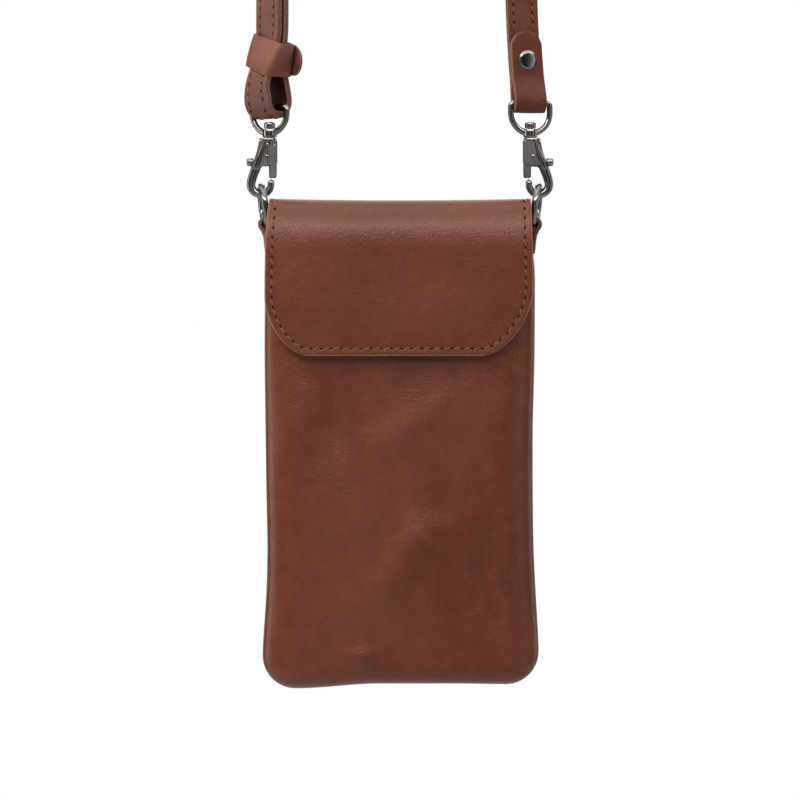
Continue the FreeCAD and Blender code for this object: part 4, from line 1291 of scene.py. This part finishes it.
strap_columns = zip(strap_side(RIGHT), arch(), [column[::-1] for column in strap_side(LEFT)])
strap_columns = [np.concatenate(column) for column in strap_columns]
strap_middle, strap_across, strap_normal, strap_sides, strap_part = strap_columns
strap_along, strap_across, strap_normal = strip_axes(strap_middle, strap_across, strap_normal)
strap_run = run_length(strap_middle)
print(f"strap path: {len(strap_middle)} sections, {strap_run[-1]:.0f} mm with its doubled ends")

# %% [markdown]
# ## The strap's layers and stitches
# Each layer is a strip's section carried along the path and rounded off at both ends. The folded
# right end is plain; elsewhere two rows of stitches lie in grooves. Faces that press on each other
# get no stitches, because nobody sees them there.

# %% Strap layers and stitching
STRAP_PITCH = 3.4
STRAP_MARKS = [0.22, 0.6, *(STITCH_GROOVE + np.array([-0.75, -0.35, 0.0, 0.35, 0.75]))]
from_end = np.minimum(strap_run, strap_run[-1] - strap_run)
strap_half = np.sqrt(np.maximum(STRAP_HALF**2 - np.maximum(STRAP_HALF - from_end, 0) ** 2, 0.0025))
on_tab = (strap_sides == RIGHT) & (strap_part != "leg")


def strap_layer(name, outward, replaced, finishes):
    """One layer: its section carried along the strap's path; the end tab has no stitch groove."""
    sewn, on_edge = strip_section(STRAP_HALF, STRAP_LAYER - 0.04, STRAP_MARKS, outward, groove=0.22)
    plain, _ = strip_section(STRAP_HALF, STRAP_LAYER - 0.04, STRAP_MARKS, outward)
    section = np.where(on_tab[:, None, None], plain, sewn)
    wide = section[..., 0]
    section[..., 0] = np.sign(wide) * np.maximum(np.abs(wide) - (STRAP_HALF - strap_half)[:, None], 0)
    middle = strap_middle + strap_normal * (outward * STRAP_LAYER / 2)
    edge = np.where(on_edge == 1, 1, np.where(on_tab[:-1, None], 0, 2)).ravel()
    shell = Shell().add_grid(strip_grid(middle, strap_across, strap_normal, section), finish=edge, caps=True)
    make_piece(name, shell, finishes, "strap", replaced, sharp=60)


def strap_stitches(name, outward, keep):
    """Two rows of stitches on one face of the strap, where that face is free."""
    runs = (np.arange(int(strap_run[-1] / STRAP_PITCH)) + 0.5) * STRAP_PITCH
    spots = np.interp(runs, strap_run, np.arange(len(strap_run)))
    spots = spots[keep[np.round(spots).astype(int)]]
    across, normal, along = [unit(read(line, spots)) for line in (strap_across, strap_normal, strap_along)]
    face = read(strap_middle, spots) + normal * (outward * (STRAP_LAYER - 0.14))
    shift = across * (STRAP_HALF - STITCH_GROOVE)
    places = np.concatenate([face + shift, face - shift])
    sew(name, places, np.tile(along, (2, 1)), np.tile(normal * outward, (2, 1)), STRAP_PITCH, "strap",
        slant=15.0 * outward, radius=0.28)


strap_layer("strap_front_layer", 1.0, ["strap_outer", "strap_left_tail", "strap_right_end"],
            [STRAP, STRAP_EDGE, STRAP])
# Off the end tab, the back layer's faces take the near-black inside leather: flesh side plus painted shade.
strap_layer("strap_back_layer", -1.0, ["strap_lining"], [STRAP, STRAP_EDGE, SHADED_STRAP_INSIDE])
strap_z = strap_middle[:, 2]
sewn_part = ~on_tab & (from_end >= 7.0)
left_pressed = (strap_sides == LEFT) & (strap_z < DOUBLED_TOP[LEFT] + 3)
right_pressed = (strap_sides == RIGHT) & (strap_part == "leg") & (strap_z < DOUBLED_TOP[RIGHT] - 1.0)
strap_stitches("strap_front_stitch", 1.0, sewn_part & ~right_pressed)
strap_stitches("strap_back_stitch", -1.0, sewn_part & ~left_pressed)

# %% [markdown]
# ## Rivets
# A capped rivet holds each doubled end. Its cap is a shallow polished dome with a rolled rim, which
# is what catches the light as a bright ring.

# %% Cap rivets
CAP = [(0.0, 1.02), (1.3, 1.005), (2.3, 0.965), (2.9, 0.9), (3.2, 0.8), (3.38, 0.66), (3.5, 0.62), (3.66, 0.6),
       (3.76, 0.45), (3.72, 0.22), (3.5, 0.05), (0.0, 0.0)]


def strap_rivet(name, side, z, replaced):
    """Two caps on the strap's faces and the shank between them."""
    x, turn, gap = leg(side, z)
    across, inward = leg_axes(turn)
    centre = np.array([x, 0, z])
    reach = STRAP_THICK + gap + 0.02
    shell = Shell()
    for way in (-1, 1):
        shell.add_grid(lathe(CAP, centre + inward * (way * reach), inward * way, across, 48))
    shank = [(1.25, -reach - 0.1), (1.25, reach + 0.1)]
    shell.add_grid(lathe(shank, centre, inward, across, 20), caps=True)
    make_piece(name, shell, [GUNMETAL], "strap", replaced, poles=True)


strap_rivet("right_cap_rivet", RIGHT, BAR_Z + 18.2, ["right_end_rivet"])
strap_rivet("left_cap_rivet", LEFT, BAR_Z + 60.0, ["left_tail_rivet"])

# %% [markdown]
# ## The keeper
# A slanting leather loop holds the two runs of the left leg together. Its rounded end pokes out at
# the right. The loop is a strip's section carried round a rounded rectangle; the slant lifts one
# side of it.

# %% Keeper loop
KEEPER_Z = BAR_Z + 19.0
KEEPER_HEIGHT = 12.7
KEEPER_LEATHER = 1.3
KEEPER_SLANT = math.radians(18.0)
KEEPER_TWIST = math.radians(9.0)
KEEPER_INSIDE_X = STRAP_HALF + 1.6
KEEPER_INSIDE_Y = STRAP_THICK + RUN_GAP[LEFT] + 1.2


def keeper_point(u, v, rise):
    """A point of the keeper from its own across, through and upward places.

    It twists and narrows upwards, and its upward and across directions are turned by the slant.
    """
    u, v, rise = [np.asarray(value)[..., None] for value in (u, v, rise)]
    share = rise / (KEEPER_HEIGHT / 2)
    x, turn, _ = leg(LEFT, KEEPER_Z)
    across, inward = leg_axes(turn + KEEPER_TWIST * share[..., 0])
    tip, sink = math.cos(KEEPER_SLANT), math.sin(KEEPER_SLANT)
    upward = np.array([0, 0, 1.0])
    slanted = (across * tip - upward * sink) * u * (1 - 0.06 * share) + (upward * tip + across * sink) * rise
    return np.array([x + 0.3, 0, KEEPER_Z + 1.3]) + slanted + inward * v * (1 - 0.16 * share)


def keeper_loop():
    """The loop: a rounded rectangle round the strap, as a wall with soft edges, slanted across."""
    half_x, half_y = KEEPER_INSIDE_X + KEEPER_LEATHER / 2, KEEPER_INSIDE_Y + KEEPER_LEATHER / 2
    corners = [(-half_x, -half_y), (half_x, -half_y), (half_x, half_y), (-half_x, half_y)]
    outline = rounded_outline(corners, 3.2, 16)
    along = unit(np.roll(outline, -1, 0) - np.roll(outline, 1, 0))
    out = pair(along[:, 1], -along[:, 0])
    share = np.array([-1, -0.985, -0.9, -0.5, 0, 0.5, 0.9, 0.985, 1.0])
    face = KEEPER_LEATHER / 2 - 0.14 * share**12
    rise = np.concatenate([share, share[::-1]]) * KEEPER_HEIGHT / 2
    flat = outline[:, None] + out[:, None] * np.concatenate([face, -face[::-1]])[:, None]
    grid = keeper_point(flat[..., 0], flat[..., 1], np.broadcast_to(rise, flat.shape[:2]))
    edge = np.zeros((len(outline), len(rise)), int)
    edge[:, [8, 17]] = 1
    return Shell().add_grid(grid, close_rows=True, finish=edge.ravel())


def keeper_tongue(shell):
    """The rounded end of the loop's strip, standing out to the right of the back wall; its face is painted
    shade in the darker strap leather.
    """
    radius = KEEPER_HEIGHT / 2 - 0.2
    end = KEEPER_INSIDE_X + KEEPER_LEATHER + 3.2
    angle = np.linspace(-np.pi / 2, np.pi / 2, 30)
    tip = pair(end - radius + radius * np.cos(angle), radius * np.sin(angle))
    plate = slab(np.concatenate([tip, [(-2.0, radius), (-2.0, -radius)]]), KEEPER_LEATHER / 2, arris=0.25)
    back = KEEPER_INSIDE_Y + KEEPER_LEATHER * 1.2
    points = keeper_point(plate[..., 0], back + plate[..., 1], plate[..., 2])
    edge = np.zeros((len(points) - 1, points.shape[1]), int)
    # Painted shade: the tongue's face and its arris take the darker strap leather; its cut edge takes the edge
    # finish.
    edge[:3] = 2
    edge[3:-2] = 1
    return shell.add_grid(points, finish=edge.ravel(), caps=True)


make_piece("keeper_loop", keeper_tongue(keeper_loop()), [KEEPER, STRAP_EDGE, STRAP], "keeper",
           ["keeper_band"], sharp=45)
keeper_back = KEEPER_INSIDE_Y + KEEPER_LEATHER * 1.7
keeper_depths = [keeper_back, keeper_back, keeper_back + 1.0]
seat, seat_right, seat_out = keeper_point([0.0, 1.0, 0.0], keeper_depths, [0.0, 0.0, 0.0])
KEEPER_STUD = [(0.0, 0.82), (1.0, 0.76), (1.6, 0.58), (1.95, 0.3), (2.0, 0.08), (1.9, -0.05), (0.0, -0.1)]
stud = lathe(KEEPER_STUD, seat, seat_out - seat, seat_right - seat, 32)
make_piece("keeper_stud", Shell().add_grid(stud), [GUNMETAL], "keeper", ["keeper_rivet"],
           poles=True)

# %% [markdown]
# ## The hidden snap
# A thin magnetic snap holds the flap down: a socket ring on the front and a stud under the flap.
# Both are turned.

# %% Snap
SNAP_Z = FLAP_FOOT + 14.0
SOCKET = [(3.5, 0.0), (3.5, 0.6), (3.75, 0.78), (4.3, 0.8), (4.8, 0.66), (6.2, 0.62), (6.75, 0.5),
          (7.0, 0.2), (7.0, 0.0)]
SNAP_STUD = [(7.0, -0.1), (7.0, 0.25), (6.7, 0.55), (6.2, 0.7), (3.3, 0.78), (2.9, 0.82), (2.85, 2.0),
             (2.5, 2.18), (0.0, 2.2)]
socket = lathe(SOCKET, (0, FRONT_FACE - 0.15, SNAP_Z), (0, -1, 0), steps=48)
make_piece("snap_socket_ring", Shell().add_grid(socket, close_rows=True), [SNAP_METAL], "pouch",
           ["snap_socket"], sharp=45)
snap_run = SHEET_END + FLAP_FOOT - SNAP_Z
stud_y = sheet_point(np.array(0.0), np.array(snap_run), HALF_MARK, SHEET_THICKNESS * 2)[1]
stud = lathe(SNAP_STUD, (0, stud_y, SNAP_Z), (0, 1, 0), steps=48)
make_piece("snap_stud_cap", Shell().add_grid(stud, caps=True), [SNAP_METAL], "flap",
           ["snap_stud"], sharp=45, poles=True)

# %% [markdown]
# ## Floor
# The photograph is lit like a catalogue picture, white all round. The floor lies far below and
# glows a little to the camera, so that it stays as white as the background.

# %% Floor
FLOOR_Z = -DROP - 640.0
FLOOR_SPAN = 3.2
FLOOR_GLOW = 0.72
floor_mesh = bpy.data.meshes.new("studio_floor")
floor_corners = np.array([(-1, -1), (1, -1), (1, 1), (-1, 1)]) * FLOOR_SPAN / 2
floor_points = np.column_stack([floor_corners, np.full(4, FLOOR_Z * MM)])
floor_mesh.from_pydata(floor_points.tolist(), [], [[0, 1, 2, 3]])
floor = add_object("studio_floor", floor_mesh)
paper = Finish("pale_paper", Roughness=0.9, Specular_IOR_Level=0.1)
paper.feed("Base Color", paper.ramp(paper.noise(paper.place(), 6.0), (0.3, (0.82, 0.82, 0.82)),
                                    (0.7, (0.86, 0.86, 0.86))))
glow = paper.node("ShaderNodeEmission", None, {"Color": (1, 1, 1, 1), "Strength": 1.0})
seen = paper.node("ShaderNodeLightPath", output="Is Camera Ray") * FLOOR_GLOW
mixed = paper.node("ShaderNodeMixShader", None, {0: seen, 1: Value(paper, paper.shader.outputs[0]), 2: glow})
paper.tree.links.new(mixed.socket, paper.tree.nodes["Material Output"].inputs["Surface"])
floor_mesh.materials.append(paper.material)
print("floor", FLOOR_SPAN, "m square")

# %% [markdown]
# ## Lamps
# A broad soft light stands above and to the left, with weaker ones in front, above, below and at
# the sides. The key and the low box are hidden from the metal, which would show them as hard white
# patches.

# %% Lights
POUCH_MIDDLE = np.array([0.0, -0.01, -0.28])
LAMPS = {"key_box": ((-0.52, -0.53, 0.72), 0.9, 0.9, 13.3), "front_box": ((-0.1, -1.2, 0.5), 1.3, 0.16, 2.4),
         "fill_box": ((1.1, -0.9, -0.1), 0.5, 0.9, 0.5), "low_box": ((-0.15, -0.6, -1.0), 1.2, 0.6, 0.9),
         "top_box": ((-0.1, -0.3, 0.75), 1.0, 0.5, 1.8), "left_rim_box": ((-1.2, -0.1, -0.2), 0.5, 1.0, 5.0),
         "right_rim_box": ((1.15, 0.3, -0.2), 0.5, 1.0, 3.2), "back_box": ((0.1, 1.1, 0.2), 1.2, 1.0, 3.0)}
for name, (place, width, height, watts) in LAMPS.items():
    box = bpy.data.lights.new(name, "AREA")
    box.shape = "RECTANGLE"
    box.size, box.size_y, box.energy = width, height, watts
    lamp = add_object(name, box)
    lamp.location = place
    toward = unit(POUCH_MIDDLE - place)
    lamp.rotation_euler = (math.acos(-toward[2]), 0, math.atan2(-toward[0], toward[1]))
    lamp.visible_glossy = name not in ("key_box", "low_box")
print("lamps:", len(LAMPS))

# %% [markdown]
# ## The world
# The world shows white to the camera and an even light to the leather. Only what mirrors it sees a
# studio: white cards, a ceiling, and darkness behind the camera, which gives the metal its dark
# streaks.

# %% World
AMBIENT = 0.235
WHITE = (1, 1, 1, 1)
world = bpy.data.worlds.new("white_studio")
bpy.context.scene.world = world
sky = Graph(world, "Background")
aim_x = sky.node("ShaderNodeSeparateXYZ", None, {0: sky.place("Generated")})
aim_y, aim_z = aim_x.other(1), aim_x.other(2)


def card(aim, start, full, fading, end, level=1.0):
    """A bright strip of sky with soft sides."""
    return sky.step(aim, start, full, level) * sky.step(aim, end, fading)


backdrop = sky.step(aim_y, 0.75, 0.95, 0.45)
ceiling = sky.step(aim_z, 0.5, 0.66, 1.3) + sky.step(aim_z, 0.2, 0.5, 1.1) * sky.step(aim_y, 0.1, 0.5)
ground = sky.step(aim_z, -0.5, -0.85, 0.15)
banner = card(aim_z, 0.4, 0.48, 0.53, 0.6, 9.5)
middle_card = card(aim_x, -0.22, -0.16, 0.04, 0.1, 0.7) * card(aim_z, -0.45, -0.3, 0.2, 0.35)
side_cards = card(aim_x, 0.57, 0.61, 0.82, 0.9, 0.7) + card(aim_x, -0.82, -0.72, -0.56, -0.5, 0.25)
in_front = (banner + middle_card + side_cards) * sky.step(aim_y, -0.3, -0.5)
lit = backdrop + ceiling + ground + in_front + 0.03
studio = sky.node("ShaderNodeCombineXYZ", None, {0: lit, 1: lit, 2: lit})
seen = sky.node("ShaderNodeLightPath", output="Is Camera Ray")
mirrored = seen.other("Is Glossy Ray") + seen.other("Is Transmission Ray")
sky.feed("Color", sky.mix(seen, sky.mix(mirrored, (AMBIENT, AMBIENT, AMBIENT, 1), studio), WHITE))
bpy.context.scene.view_settings.view_transform = "Standard"
print("world:", world.name)
